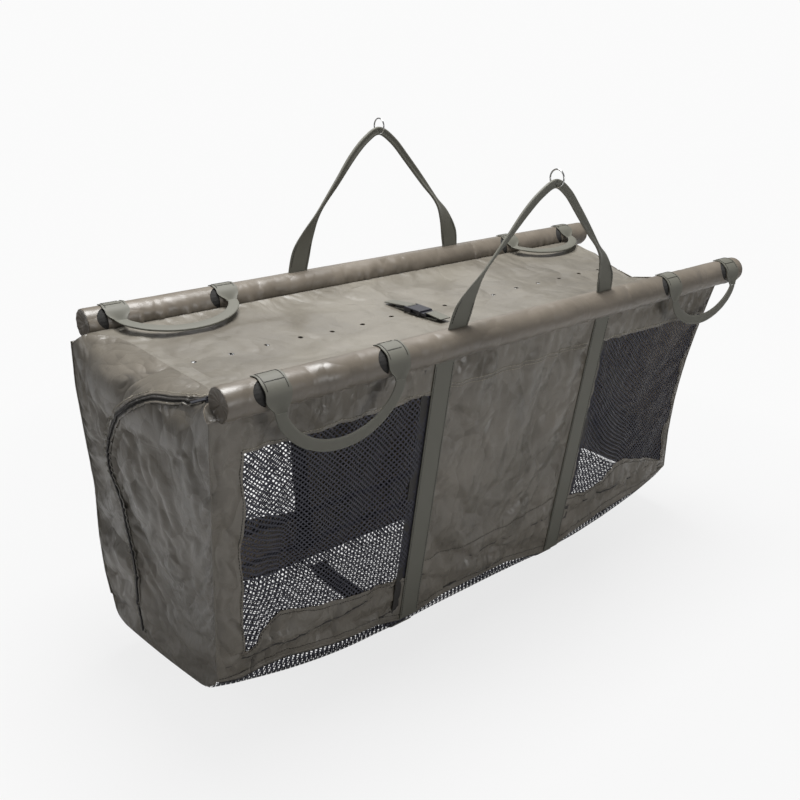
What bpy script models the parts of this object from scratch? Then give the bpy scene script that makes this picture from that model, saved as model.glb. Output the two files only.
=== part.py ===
"""Weigh sling: two float bars, a mesh-windowed bag, a zipped lid, straps and handles.

Metres, +Z up, X along the bars, -Y the front. Every piece is built in the sling's own
frame (X = 0 at the middle of the bars, Y = 0 midway between them, Z = 0 on the ground)
and then hung on the empty of the body that carries it.
"""
from math import atan2, cos, hypot, pi, radians, sin, tan

import bmesh
import bpy
from mathutils import Matrix, Vector

# Bars
bar_length = 1.200
bar_spacing = 0.394
bar_height = 0.5555
sleeve_radius = 0.0240
sleeve_wall = 0.0010
tube_radius = 0.0095
tube_wall = 0.0012
tube_end_inset = 0.010
foam_end_inset = 0.006
cap_thickness = 0.004
cap_dish = 0.0015
cap_rim_width = 0.003

# Cloth, net and webbing
cloth_thickness = 0.0012
net_thickness = 0.0008
net_strand_width = 0.0035
webbing_width = 0.040
webbing_thickness = 0.0016
layer_gap = 0.0003
seam_gap = 0.0005
net_lap = 0.010

# Bag
bag_bar_margin = 0.050
bag_shift = -0.028
bag_foot_half_width = 0.145
bag_foot_height = 0.1025
base_end_lift = 0.060
base_side_lift = 0.022
base_corner_lift = 0.020
base_rim_lap = 0.008
left_end_bulge = 0.035
left_end_swell = 0.012
right_end_cave = 0.035
right_end_draw = 0.015
end_shoulder_drop = 0.036

# Windows in the long walls, measured along X and down the wall from the bar's axis
left_window_inset = 0.048
left_window_end = -0.222
right_window_start = 0.205
right_window_inset = 0.039
window_top_drop = 0.081
window_outer_drop = 0.392
window_inner_drop = 0.432
window_corner_radius = 0.014
window_step = 0.060

# Webbing down the walls and under the base
left_webbing_x = -0.206
right_webbing_x = 0.180

# Lid
lid_edge_drop = 0.007
lid_sag = 0.009
lid_fold_y = 0.060
lid_thickness = 0.0014
hole_radius = 0.0042
hole_pitch = 0.0628
hole_places = 18
hole_place_of_buckle = 8
first_hole_x = -0.601

# Zips
coil_width = 0.0050
coil_height = 0.0024
zip_tape_width = 0.0100
zip_tape_thickness = 0.0010
zip_end_margin = 0.006
end_zip_gap = 0.0009
slider_length = 0.0120
slider_side_wall = 0.0016
slider_cover = 0.0014
slider_clearance = 0.0004
bail_width = 0.0024
bail_wall = 0.0014
bail_window = 0.0036
puller_length = 0.026
puller_width = 0.0070
puller_tip_width = 0.0056
puller_thickness = 0.0014
puller_end = 0.0013

# Carry handles and their tabs
front_tab_places = (-0.527, -0.323, 0.359, 0.558)
rear_tab_places = (-0.551, -0.355, 0.346, 0.527)
front_handle_depths = (0.078, 0.056)
rear_handle_depths = (0.060, 0.046)
handle_width = 0.018
handle_thickness = 0.0048
handle_neck_thickness = 0.0020
handle_start = 0.0020
front_handle_reach = 0.0295
front_handle_drop = 0.018
rear_handle_reach = 0.0295
rear_handle_drop = -0.006
rear_handle_slope = radians(11.0)
tab_first_angle = radians(112.0)
rear_tab_last_angle = radians(42.0)
tab_pinch_width = 0.020
tab_pinch_thickness = 0.0028
sleeve_slot_width = 0.012
sleeve_slot_gap = 0.002

# Hanging straps and rings
front_strap_span = 0.357
front_strap_rise = 0.228
front_strap_lean = radians(6.0)
front_strap_shift = -0.0095
rear_strap_span = 0.378
rear_strap_rise = 0.259
rear_strap_lean = 0.0
rear_strap_shift = -0.010
strap_thickness = 0.0018
ring_bore_radius = 0.0120
ring_wire_radius = 0.00125
ring_seat_gap = 0.0007

# Buckle
buckle_x = -0.104
buckle_webbing_width = 0.022
tab_sewn_y = 0.055
female_width = 0.030
female_length = 0.040
female_thickness = 0.0086
female_wall = 0.0018
female_start_y = 0.000
female_bar = 0.0032
female_slot = 0.0046
female_bore_depth = 0.027
female_window_length = 0.014
female_window_start = 0.008
male_length = 0.014
male_slot = 0.0044
male_bar = 0.0032
male_tongue_width = 0.0036
prong_length = 0.024
prong_root_width = 0.0030
prong_tip_width = 0.0052
prong_shoulder = 0.013
buckle_gap = 0.0004
tail_end_y = -0.088
buckle_edge_radius = 0.0012

# Shapes written as shares of the sizes above
# Hanging strap: place along the span, height, width of the webbing, thickness
strap_shares = (
    (-0.500, 0.00, 1.05, 1.0),
    (-0.478, 0.16, 1.15, 1.0),
    (-0.435, 0.31, 0.95, 1.6),
    (-0.362, 0.46, 0.50, 3.4),
    (-0.270, 0.64, 0.42, 3.4),
    (-0.180, 0.82, 0.40, 3.4),
    (-0.100, 0.94, 0.40, 3.4),
    (-0.020, 1.00, 0.40, 3.4),
    (0.070, 0.92, 0.40, 3.4),
    (0.165, 0.77, 0.40, 3.4),
    (0.285, 0.57, 0.44, 3.4),
    (0.375, 0.42, 0.46, 3.6),
    (0.440, 0.26, 0.80, 2.0),
    (0.485, 0.12, 1.15, 1.0),
    (0.500, 0.00, 1.05, 1.0),
)
# End zip: place across the end from the front (-1) to the rear (1), and height of the end
end_zip_shares = (
    (-0.86, 0.965), (-0.52, 0.955), (-0.20, 0.94), (0.085, 0.905), (0.30, 0.835),
    (0.47, 0.745), (0.545, 0.665), (0.52, 0.61), (0.45, 0.555), (0.39, 0.465), (0.33, 0.39),
    (0.29, 0.33), (0.31, 0.25), (0.32, 0.125), (0.32, 0.04),
)
foot_length_share = 0.45
lift_power = 1.8
edge_fade_power = 4
base_webbing_end_share = 0.62
tab_neck_share = 0.45
tab_beyond_share = 0.42
superellipse_power = 0.45
handle_power = 0.75

# Counts
bar_sides = 24
strap_sides = 8
wall_steps = 24
end_columns = 8
end_rows = 9
base_columns = 16
base_rows = 7
window_net_cells = 5
strap_between_steps = 2
tab_steps = 5
handle_steps = 12

# The base lies flat but for its outermost row on each side
foot_width_share = (base_rows - 2) / base_rows

overrun = 0.004
half_spacing = bar_spacing / 2
bag_length = bar_length - bag_bar_margin
half_bag = bag_length / 2
left_edge = bag_shift - half_bag
right_edge = bag_shift + half_bag
left_window_start = left_edge + left_window_inset
right_window_end = right_edge - right_window_inset
wall_slope = atan2(half_spacing - bag_foot_half_width, bar_height - bag_foot_height)
sleeve_clear = sleeve_radius + seam_gap
lid_clear_y = half_spacing - sleeve_clear - layer_gap

for leftover in list(bpy.data.objects):
    bpy.data.objects.remove(leftover, do_unlink=True)

sling = bpy.data.collections.new("weigh_sling")
bpy.context.scene.collection.children.link(sling)


# Materials: base colour, roughness, metallic
finishes = {
    "lid_cloth": ((0.39, 0.38, 0.33), 0.85, 0.0),
    "side_cloth": ((0.15, 0.13, 0.10), 0.85, 0.0),
    "sleeve_cloth": ((0.42, 0.41, 0.37), 0.85, 0.0),
    "webbing": ((0.21, 0.22, 0.18), 0.80, 0.0),
    "mesh": ((0.03, 0.03, 0.04), 0.75, 0.0),
    "foam": ((0.05, 0.05, 0.05), 0.95, 0.0),
    "alloy": ((0.70, 0.70, 0.72), 0.35, 1.0),
    "steel": ((0.60, 0.60, 0.60), 0.20, 1.0),
    "black_plastic": ((0.02, 0.02, 0.02), 0.35, 0.0),
    "zip": ((0.03, 0.03, 0.03), 0.55, 0.0),
}


def finish_of(name, kind):
    colour, roughness, metallic = finishes[kind]
    material = bpy.data.materials.new(name + "_" + kind)
    material.use_nodes = True
    shader = material.node_tree.nodes["Principled BSDF"]
    shader.inputs["Base Color"].default_value = (*colour, 1.0)
    shader.inputs["Roughness"].default_value = roughness
    shader.inputs["Metallic"].default_value = metallic
    return material


# Bodies: an empty on each joint's axis, hung on the body that carries it
pivots = {}
empties = {}


def add_body(name, pivot, parent=None):
    empty = bpy.data.objects.new(name + "_axis", None)
    sling.objects.link(empty)
    pivots[name] = Vector(pivot)
    empties[name] = empty
    if parent:
        empty.parent = empties[parent]
        empty.location = pivots[name] - pivots[parent]
    else:
        empty.location = pivots[name]


# Mesh helpers
def place(obj, kind, body, smooth=True):
    obj.data.materials.clear()
    obj.data.materials.append(finish_of(obj.name, kind))
    obj.data.transform(Matrix.Translation(-pivots[body]))
    obj.parent = empties[body]
    if smooth:
        obj.data.shade_smooth()
        obj.data.set_sharp_from_angle(angle=radians(40.0))
    return obj


def object_of(name, bm):
    mesh = bpy.data.meshes.new(name)
    bm.to_mesh(mesh)
    bm.free()
    obj = bpy.data.objects.new(name, mesh)
    sling.objects.link(obj)
    return obj


def settle(obj):
    """Turn an object's modifiers or curve into its plain mesh."""
    bpy.context.view_layer.update()
    graph = bpy.context.evaluated_depsgraph_get()
    mesh = bpy.data.meshes.new_from_object(obj.evaluated_get(graph), depsgraph=graph)
    mesh.transform(obj.matrix_world)
    name = obj.name
    bpy.data.objects.remove(obj, do_unlink=True)
    bm = bmesh.new()
    bm.from_mesh(mesh)
    bpy.data.meshes.remove(mesh)
    bmesh.ops.remove_doubles(bm, verts=bm.verts, dist=layer_gap / 30)
    return object_of(name, bm)


def thicken(obj, thickness, offset=0.0):
    solid = obj.modifiers.new("thickness", "SOLIDIFY")
    solid.thickness = thickness
    solid.offset = offset
    solid.use_even_offset = True
    return settle(obj)


def boolean(obj, other, operation):
    step = obj.modifiers.new("boolean", "BOOLEAN")
    step.operation = operation
    step.object = other
    step.solver = "EXACT"
    result = settle(obj)
    bpy.data.objects.remove(other, do_unlink=True)
    return result


def add_box(bm, low, high):
    size = Vector(high) - Vector(low)
    middle = (Vector(high) + Vector(low)) / 2
    matrix = Matrix.Translation(middle) @ Matrix.Diagonal((*size, 1.0))
    bmesh.ops.create_cube(bm, size=1.0, matrix=matrix)


def boxes(name, pairs):
    bm = bmesh.new()
    for low, high in pairs:
        add_box(bm, low, high)
    return object_of(name, bm)


def soften(obj, width, segments=2):
    bevel = obj.modifiers.new("edge", "BEVEL")
    bevel.width = width
    bevel.segments = segments
    bevel.limit_method = "ANGLE"
    return settle(obj)


def turned_along_x(name, profile, x_place, y_place, z_place, sides):
    """Turn a closed profile of (along, radius) points about the X axis."""
    bm = bmesh.new()
    points = [bm.verts.new((along, 0.0, radius)) for along, radius in profile]
    edges = [bm.edges.new((a, b)) for a, b in zip(points, points[1:] + points[:1])]
    bmesh.ops.spin(bm, geom=points + edges, cent=(0, 0, 0), axis=(1, 0, 0),
                   angle=2 * pi, steps=sides, use_merge=True)
    bmesh.ops.recalc_face_normals(bm, faces=bm.faces)
    bmesh.ops.translate(bm, verts=bm.verts, vec=(x_place, y_place, z_place))
    return object_of(name, bm)


def flat_piece(name, outlines, thickness, matrix):
    """Extrude a flat outline, whose further outlines are holes, and put it in place."""
    curve = bpy.data.curves.new(name, "CURVE")
    curve.dimensions = "2D"
    curve.fill_mode = "BOTH"
    curve.extrude = thickness / 2
    for outline in outlines:
        spline = curve.splines.new("POLY")
        spline.points.add(len(outline) - 1)
        for point, (u, v) in zip(spline.points, outline):
            point.co = (u, v, 0.0, 1.0)
        spline.use_cyclic_u = True
    obj = bpy.data.objects.new(name, curve)
    sling.objects.link(obj)
    obj = settle(obj)
    obj.data.transform(matrix)
    bm = bmesh.new()
    bm.from_mesh(obj.data)
    bmesh.ops.recalc_face_normals(bm, faces=bm.faces)
    bm.to_mesh(obj.data)
    bm.free()
    return obj


def rounded(points, radius, steps=3):
    """Round the corners of a polygon with arcs."""
    result = []
    count = len(points)
    for i, corner in enumerate(points):
        here = Vector(corner)
        before = (Vector(points[i - 1]) - here).normalized()
        after = (Vector(points[(i + 1) % count]) - here).normalized()
        half_angle = before.angle(after) / 2
        centre = here + (before + after).normalized() * radius / sin(half_angle)
        start = here + before * radius / tan(half_angle) - centre
        sweep = start.angle_signed(here + after * radius / tan(half_angle) - centre)
        for k in range(steps + 1):
            turn = Matrix.Rotation(-sweep * k / steps, 2)
            result.append(tuple(centre + turn @ start))
    return result


def smooth_points(points, between):
    """Points on a Catmull-Rom curve through rows of numbers."""
    rows = [Vector(p) for p in points]
    result = []
    for i in range(len(rows) - 1):
        p0 = rows[max(i - 1, 0)]
        p1, p2 = rows[i], rows[i + 1]
        p3 = rows[min(i + 2, len(rows) - 1)]
        for k in range(between):
            t = k / between
            result.append(0.5 * (2 * p1 + (p2 - p0) * t + (2 * p0 - 5 * p1 + 4 * p2 - p3) * t ** 2
                                 + (3 * p1 - p0 - 3 * p2 + p3) * t ** 3))
    result.append(rows[-1])
    return result


def loft(name, sections):
    """Skin flattened round sections of (centre, width way, thickness way, half sizes)."""
    bm = bmesh.new()
    rings = []
    for centre, across, through, half_width, half_thickness in sections:
        ring = []
        for k in range(strap_sides):
            angle = 2 * pi * (k + 0.5) / strap_sides
            a = abs(cos(angle)) ** superellipse_power * (1 if cos(angle) > 0 else -1)
            b = abs(sin(angle)) ** superellipse_power * (1 if sin(angle) > 0 else -1)
            ring.append(bm.verts.new(centre + across * a * half_width + through * b * half_thickness))
        rings.append(ring)
    for one, two in zip(rings, rings[1:]):
        for k in range(strap_sides):
            m = (k + 1) % strap_sides
            bm.faces.new((one[k], one[m], two[m], two[k]))
    bm.faces.new(rings[0])
    bm.faces.new(rings[-1])
    bmesh.ops.recalc_face_normals(bm, faces=bm.faces)
    return object_of(name, bm)


def grid(columns, rows, surface):
    """A sheet of faces laid on surface(a, b), with a and b from -1 to 1."""
    bm = bmesh.new()
    bmesh.ops.create_grid(bm, x_segments=columns, y_segments=rows, size=1.0)
    for vert in bm.verts:
        vert.co = surface(vert.co.x, vert.co.y)
    bm.normal_update()
    return bm


def net(name, columns, rows, surface):
    """A flat lattice: the faces of a sheet, each opened up inside a border of strand."""
    bm = grid(columns, rows, surface)
    holes = list(bm.faces)
    bmesh.ops.inset_individual(bm, faces=holes, thickness=net_strand_width, use_even_offset=True)
    bmesh.ops.delete(bm, geom=holes, context="FACES")
    return thicken(object_of(name, bm), net_thickness)


# Shape of the bag
def lift_share(x):
    reach = abs(x - bag_shift) / half_bag
    beyond = max(0.0, (reach - foot_length_share) / (1 - foot_length_share))
    return beyond ** lift_power


def belly_z(x):
    """Middle of the base net, over the webbing that lies on the ground."""
    ground = webbing_thickness + layer_gap + net_thickness / 2
    return ground + base_end_lift * lift_share(x)


def hem_z(x):
    return belly_z(x) + base_side_lift + base_corner_lift * lift_share(x)


def wall_y(z):
    """Distance of a long wall's middle surface from Y = 0 at a height."""
    return half_spacing - (bar_height - z) * tan(wall_slope)


def bulge(height_share):
    return sin(pi * min(max(height_share, 0.0), 1.0))


def level_of(z):
    """Height as a share of a long wall's edge, from the foot of the end to the sleeve."""
    foot = hem_z(left_edge)
    return (z - foot) / (bar_height - sleeve_clear - foot)


def edge_shift(side, place, height_share):
    """How far an end of the bag stands out from its straight line, from front to rear."""
    if side < 0:
        return -bulge(height_share) * (left_end_bulge * (1 + place) / 2
                                       + left_end_swell * (1 - place ** 2))
    return -bulge(height_share) * (right_end_cave + right_end_draw * (1 - place ** 2))


def lid_z(y):
    return bar_height - lid_edge_drop - lid_sag * (1 - (y / lid_clear_y) ** 2)


# Long walls
wall_top = -sleeve_clear
wall_edge_overlap = 0.0020


def wall_matrix(side, offset):
    """Plane of a long wall, seen from outside for the front: X along, Y up the wall."""
    up = Vector((0.0, side * sin(wall_slope), cos(wall_slope)))
    out = Vector((0.0, side * cos(wall_slope), -sin(wall_slope)))
    origin = Vector((0.0, side * half_spacing, bar_height)) + out * offset
    columns = (Vector((1.0, 0.0, 0.0)), up, out, origin)
    matrix = Matrix.Identity(4)
    for index, column in enumerate(columns):
        for row in range(3):
            matrix[row][index] = column[row]
    return matrix


def wall_depth(z):
    return -(bar_height - z) / cos(wall_slope)


def drawn(side, x, depth):
    """A place on a long wall, moved with the bulge or cave of the end nearest to it."""
    end = -1 if x < bag_shift else 1
    reach = abs(x - bag_shift) / half_bag
    level = level_of(bar_height + depth * cos(wall_slope))
    shift = edge_shift(end, side if end < 0 else 1, level)
    return (x + shift * reach ** edge_fade_power, depth)


def stepped(outline):
    """Split an outline's long straight runs, so that they can follow the end's curve."""
    points = []
    for (x, depth), (next_x, next_depth) in zip(outline, outline[1:] + outline[:1]):
        count = max(1, round(hypot(next_x - x, next_depth - depth) / window_step))
        for k in range(count):
            points.append((x + (next_x - x) * k / count, depth + (next_depth - depth) * k / count))
    return points


def wall_outline(side):
    points = []
    foot = wall_depth(hem_z(left_edge))
    for k in range(end_rows):
        points.append(drawn(side, left_edge, wall_top + (foot - wall_top) * k / end_rows))
    for k in range(wall_steps + 1):
        x = left_edge + bag_length * k / wall_steps
        points.append((x, wall_depth(hem_z(x))))
    for k in range(1, end_rows + 1):
        points.append(drawn(side, right_edge, foot + (wall_top - foot) * k / end_rows))
    return points


def window_outline(side, start, end, outer_first):
    first = window_outer_drop if outer_first else window_inner_drop
    last = window_inner_drop if outer_first else window_outer_drop
    corners = [(start, -window_top_drop), (start, -first), (end, -last), (end, -window_top_drop)]
    return [drawn(side, x, depth) for x, depth in stepped(rounded(corners, window_corner_radius))]


def build_wall(side, word):
    body = word + "_wall"
    windows = [window_outline(side, left_window_start, left_window_end, True),
               window_outline(side, right_window_start, right_window_end, False)]
    panel = flat_piece(word + "_wall_panel", [wall_outline(side)] + windows, cloth_thickness,
                       wall_matrix(side, 0.0))
    place(panel, "side_cloth", body, smooth=False)
    inside = -(cloth_thickness / 2 + layer_gap + net_thickness / 2)
    net_plane = wall_matrix(side, inside)
    spans = (("left", left_window_start, left_window_end),
             ("right", right_window_start, right_window_end))
    for end_word, start, end in spans:
        middle = (start + end) / 2
        half = (end - start) / 2 + net_lap
        top = -window_top_drop + net_lap
        foot = -window_inner_drop - net_lap

        def surface(a, b):
            x, depth = drawn(side, middle + a * half, (top + foot) / 2 + b * (top - foot) / 2)
            return net_plane @ Vector((x, depth, 0.0))

        piece = net(word + "_net_" + end_word, window_net_cells, window_net_cells, surface)
        place(piece, "mesh", body, smooth=False)
    outside = cloth_thickness / 2 + layer_gap + webbing_thickness / 2
    for end_word, x in (("left", left_webbing_x), ("right", right_webbing_x)):
        half = webbing_width / 2
        foot = wall_depth(hem_z(x))
        outline = [(x - half, wall_top), (x - half, foot), (x + half, foot), (x + half, wall_top)]
        strip = flat_piece(word + "_wall_webbing_" + end_word, [outline], webbing_thickness,
                           wall_matrix(side, outside))
        place(strip, "webbing", body, smooth=False)


# Base
base_side_gap = cloth_thickness / 2 + seam_gap + net_thickness


def base_half_width(x):
    return wall_y(hem_z(x) + base_rim_lap) - base_side_gap


def base_z(x, place):
    beyond = max(0.0, (abs(place) - foot_width_share) / (1 - foot_width_share))
    return belly_z(x) + (hem_z(x) + base_rim_lap - belly_z(x)) * beyond ** 2


def base_point(a, b):
    x = bag_shift + a * (half_bag - cloth_thickness)
    return Vector((x, b * base_half_width(x), base_z(x, b)))


def faceted_base_z(x, place):
    """Height of the base net's flat faces between two of its rows."""
    row = min(int((place + 1) / 2 * base_rows), base_rows - 1)
    low, high = -1 + 2 * row / base_rows, -1 + 2 * (row + 1) / base_rows
    share = (place - low) / (high - low)
    return base_z(x, low) * (1 - share) + base_z(x, high) * share


def build_base():
    place(net("base_net", base_columns, base_rows, base_point), "mesh", "root", smooth=False)
    depth = net_thickness / 2 + layer_gap + webbing_thickness / 2
    last = foot_width_share + (1 - foot_width_share) * base_webbing_end_share
    rows = [-last] + [-1 + 2 * k / base_rows for k in range(1, base_rows)] + [last]
    for word, x in (("left", left_webbing_x), ("right", right_webbing_x)):
        spots = [Vector((x, row * base_half_width(x), faceted_base_z(x, row))) for row in rows]
        sections = []
        for i, spot in enumerate(spots):
            one = (spot - spots[max(i - 1, 0)]).normalized()
            two = (spots[min(i + 1, len(spots) - 1)] - spot).normalized()
            along = (one + two).normalized()
            down = Vector((0.0, along.z, -along.y))
            sections.append((spot + down * depth, Vector((1.0, 0.0, 0.0)), down))
        bm = bmesh.new()
        rings = []
        half_width, half_thickness = webbing_width / 2, webbing_thickness / 2
        for centre, across, down in sections:
            corners = ((-1, -1), (1, -1), (1, 1), (-1, 1))
            rings.append([bm.verts.new(centre + across * a * half_width + down * b * half_thickness)
                          for a, b in corners])
        for one, two in zip(rings, rings[1:]):
            for k in range(4):
                bm.faces.new((one[k], one[(k + 1) % 4], two[(k + 1) % 4], two[k]))
        bm.faces.new(rings[0])
        bm.faces.new(rings[-1])
        bmesh.ops.recalc_face_normals(bm, faces=bm.faces)
        strip = object_of("base_webbing_" + word, bm)
        place(strip, "webbing", "root", smooth=False)


# Ends
end_side_gap = cloth_thickness / 2 + seam_gap + layer_gap


def end_foot_z(side, place):
    x = left_edge if side < 0 else right_edge
    return faceted_base_z(x, place) + net_thickness + seam_gap


def end_point(side, place, height_share):
    """A point of an end panel: place from front to rear, height from foot to shoulder."""
    foot = end_foot_z(side, place)
    shoulder = bar_height - end_shoulder_drop
    z = foot + (shoulder - foot) * height_share
    x = (left_edge if side < 0 else right_edge) - side * cloth_thickness
    return Vector((x + edge_shift(side, place, level_of(z)), place * (wall_y(z) - end_side_gap), z))


def end_facet(side, place, height_share):
    """A point on the flat faces of an end panel and the way that they face outwards."""
    rows = end_rows - 1
    column = min(int((place + 1) / 2 * end_columns), end_columns - 1)
    row = min(int(height_share * rows), rows - 1)
    left, right = -1 + 2 * column / end_columns, -1 + 2 * (column + 1) / end_columns
    low, high = row / rows, (row + 1) / rows
    u = (place - left) / (right - left)
    v = (height_share - low) / (high - low)
    foot = end_point(side, left, low).lerp(end_point(side, right, low), u)
    head = end_point(side, left, high).lerp(end_point(side, right, high), u)
    across = end_point(side, right, low) - end_point(side, left, low)
    normal = across.cross(head - foot).normalized()
    return foot.lerp(head, v), normal * (1 if normal.x * side > 0 else -1)


def build_end(side, word):
    rows = end_rows

    def surface(a, b):
        if b > 1 - 1 / rows:
            y = a * lid_clear_y
            top = lid_z(y) - lid_thickness / 2 - seam_gap
            x = (left_edge if side < 0 else right_edge) - side * cloth_thickness
            return Vector((x, y, top))
        return end_point(side, a, (b + 1) / 2 * rows / (rows - 1))

    panel = thicken(object_of(word + "_end_panel", grid(end_columns, rows, surface)), cloth_thickness)
    place(panel, "side_cloth", "root")


def build_end_zip(side, word):
    """The coil of the zip, which leaves the front corner and runs down the rear of the end."""
    away = cloth_thickness / 2 + end_zip_gap + coil_height / 2
    spots = [end_facet(side, *row) for row in smooth_points(end_zip_shares, strap_between_steps)]
    path = [point for point, out in spots]
    sections = []
    for i, (point, out) in enumerate(spots):
        ahead = path[min(i + 1, len(path) - 1)] - path[max(i - 1, 0)]
        across = ahead.cross(out).normalized()
        sections.append((point + out * away, across, out, coil_width / 2, coil_height / 2))
    place(loft(word + "_end_zip", sections), "zip", "root")


# Lid
def build_lid():
    start = left_edge - cloth_thickness / 2
    end = right_edge + cloth_thickness / 2
    coil_y = half_spacing - sleeve_clear - zip_tape_width
    flap_front = -(coil_y - coil_width / 2 - slider_clearance * 2 - slider_side_wall - seam_gap)
    spans = (("lid_rear_panel", lid_fold_y + seam_gap, lid_clear_y, "root", 4),
             ("lid_flap_panel", flap_front, lid_fold_y - seam_gap / 2, "lid_flap", 8))
    for name, low, high, body, rows in spans:

        def surface(a, b):
            y = (low + high) / 2 + b * (high - low) / 2
            return Vector(((start + end) / 2 + a * (end - start) / 2, y, lid_z(y)))

        panel = thicken(object_of(name, grid(6, rows, surface)), lid_thickness)
        if body == "lid_flap":
            bm = bmesh.new()
            for i in range(hole_places):
                if i == hole_place_of_buckle:
                    continue
                spot = Matrix.Translation((first_hole_x + hole_pitch * i + hole_pitch / 4, 0.0, lid_z(0.0)))
                bmesh.ops.create_cone(bm, cap_ends=True, segments=10, radius1=hole_radius,
                                      radius2=hole_radius, depth=overrun, matrix=spot)
            panel = boolean(panel, object_of("hole_cutter", bm), "DIFFERENCE")
        place(panel, "lid_cloth", body, smooth=False)
    return coil_y


# Bars
def build_bar(side, word):
    body = word + "_bar"
    y = side * half_spacing
    half = bar_length / 2
    tube_half = half - tube_end_inset
    tube = [(-tube_half, tube_radius), (tube_half, tube_radius),
            (tube_half, tube_radius - tube_wall), (-tube_half, tube_radius - tube_wall)]
    place(turned_along_x(word + "_bar_tube", tube, 0.0, y, bar_height, 16), "alloy", body)
    foam_half = half - foam_end_inset
    foam_outer = sleeve_radius - sleeve_wall - layer_gap
    foam_inner = tube_radius + layer_gap
    foam = [(-foam_half, foam_outer), (foam_half, foam_outer),
            (foam_half, foam_inner), (-foam_half, foam_inner)]
    place(turned_along_x(word + "_bar_foam", foam, 0.0, y, bar_height, bar_sides), "foam", body)
    build_sleeve(side, word, body, y)
    cap_outer = sleeve_radius - sleeve_wall - layer_gap
    for end_word, way in (("left", -1), ("right", 1)):
        face = half - foam_end_inset + layer_gap
        cap = [(0.0, 0.0), (0.0, cap_outer), (cap_thickness, cap_outer),
               (cap_thickness + cap_dish, cap_outer - cap_rim_width), (cap_thickness, 0.0)]
        cap = [(way * (face + along), radius) for along, radius in cap]
        bm = bmesh.new()
        points = [bm.verts.new((along, y, bar_height + radius)) for along, radius in cap]
        edges = [bm.edges.new(pair) for pair in zip(points, points[1:])]
        bmesh.ops.spin(bm, geom=points + edges, cent=(0, y, bar_height), axis=(1, 0, 0),
                       angle=2 * pi, steps=bar_sides, use_merge=True)
        bmesh.ops.remove_doubles(bm, verts=bm.verts, dist=layer_gap / 10)
        bmesh.ops.recalc_face_normals(bm, faces=bm.faces)
        place(object_of(word + "_bar_cap_" + end_word, bm), "sleeve_cloth", body)


def build_sleeve(side, word, body, y):
    half = bar_length / 2
    inner = sleeve_radius - sleeve_wall
    sleeve = [(-half, sleeve_radius), (half, sleeve_radius), (half, inner), (-half, inner)]
    sleeve = turned_along_x(word + "_bar_sleeve", sleeve, 0.0, y, bar_height, bar_sides)
    places = front_tab_places if side < 0 else rear_tab_places
    toward = side if side < 0 else -side
    pairs = []
    for x in places:
        low_x = x - webbing_width / 2 - sleeve_slot_gap - sleeve_slot_width
        outer = y + toward * (sleeve_radius + overrun)
        near = y + toward * sleeve_radius / 6
        low = (low_x, min(outer, near), bar_height - sleeve_radius * 3 / 4)
        high = (low_x + sleeve_slot_width, max(outer, near), bar_height + sleeve_radius + overrun)
        pairs.append((low, high))
    sleeve = boolean(sleeve, boxes("slot_cutter", pairs), "DIFFERENCE")
    place(sleeve, "sleeve_cloth", body)


# Carry handles: a tab over the bar, then a folded loop of the same webbing
def build_handles(side, word):
    toward = -1
    reach = front_handle_reach if side < 0 else rear_handle_reach
    drop = front_handle_drop if side < 0 else rear_handle_drop
    places = front_tab_places if side < 0 else rear_tab_places
    depths = front_handle_depths if side < 0 else rear_handle_depths
    slope = pi / 2 if side < 0 else rear_handle_slope
    axis_y = side * half_spacing + toward * reach
    axis_z = bar_height - drop
    last_angle = 0.0 if side < 0 else rear_tab_last_angle
    for number, x in enumerate(places, start=1):
        build_tab(word + "_tab_" + str(number), word + "_bar", x, side * half_spacing, toward,
                  axis_y, axis_z, last_angle)
    for number, end_word in enumerate(("left", "right")):
        first, second = places[2 * number], places[2 * number + 1]
        build_handle(word + "_handle_" + end_word, first, second, axis_y, axis_z, toward, slope,
                     depths[number])


def build_tab(name, body, x, bar_y, toward, axis_y, axis_z, last_angle):
    radius = sleeve_radius + layer_gap * 2 + webbing_thickness / 2
    points = []
    for k in range(tab_steps + 1):
        angle = tab_first_angle + (last_angle - tab_first_angle) * k / tab_steps
        points.append(((bar_y + toward * radius * cos(angle), bar_height + radius * sin(angle)),
                       webbing_width / 2, webbing_thickness / 2))
    axis = Vector((axis_y, axis_z))
    neck = axis - Vector(points[-1][0])
    points.append((tuple(axis - neck * tab_neck_share), (webbing_width + tab_pinch_width) / 4,
                   webbing_thickness / 2))
    points.append((tuple(axis), tab_pinch_width / 2, tab_pinch_thickness / 2))
    beyond = neck.normalized() * tab_pinch_thickness * tab_beyond_share
    points.append((tuple(axis + beyond), tab_pinch_width / 2, tab_pinch_thickness / 4))
    sections = []
    for i, (point, half_width, half_thickness) in enumerate(points):
        before = Vector(points[max(i - 1, 0)][0])
        after = Vector(points[min(i + 1, len(points) - 1)][0])
        along = (after - before).normalized()
        centre = Vector((x, point[0], point[1]))
        through = Vector((0.0, -along.y, along.x))
        sections.append((centre, Vector((1.0, 0.0, 0.0)), through, half_width, half_thickness))
    place(loft(name, sections), "webbing", body)


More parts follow.
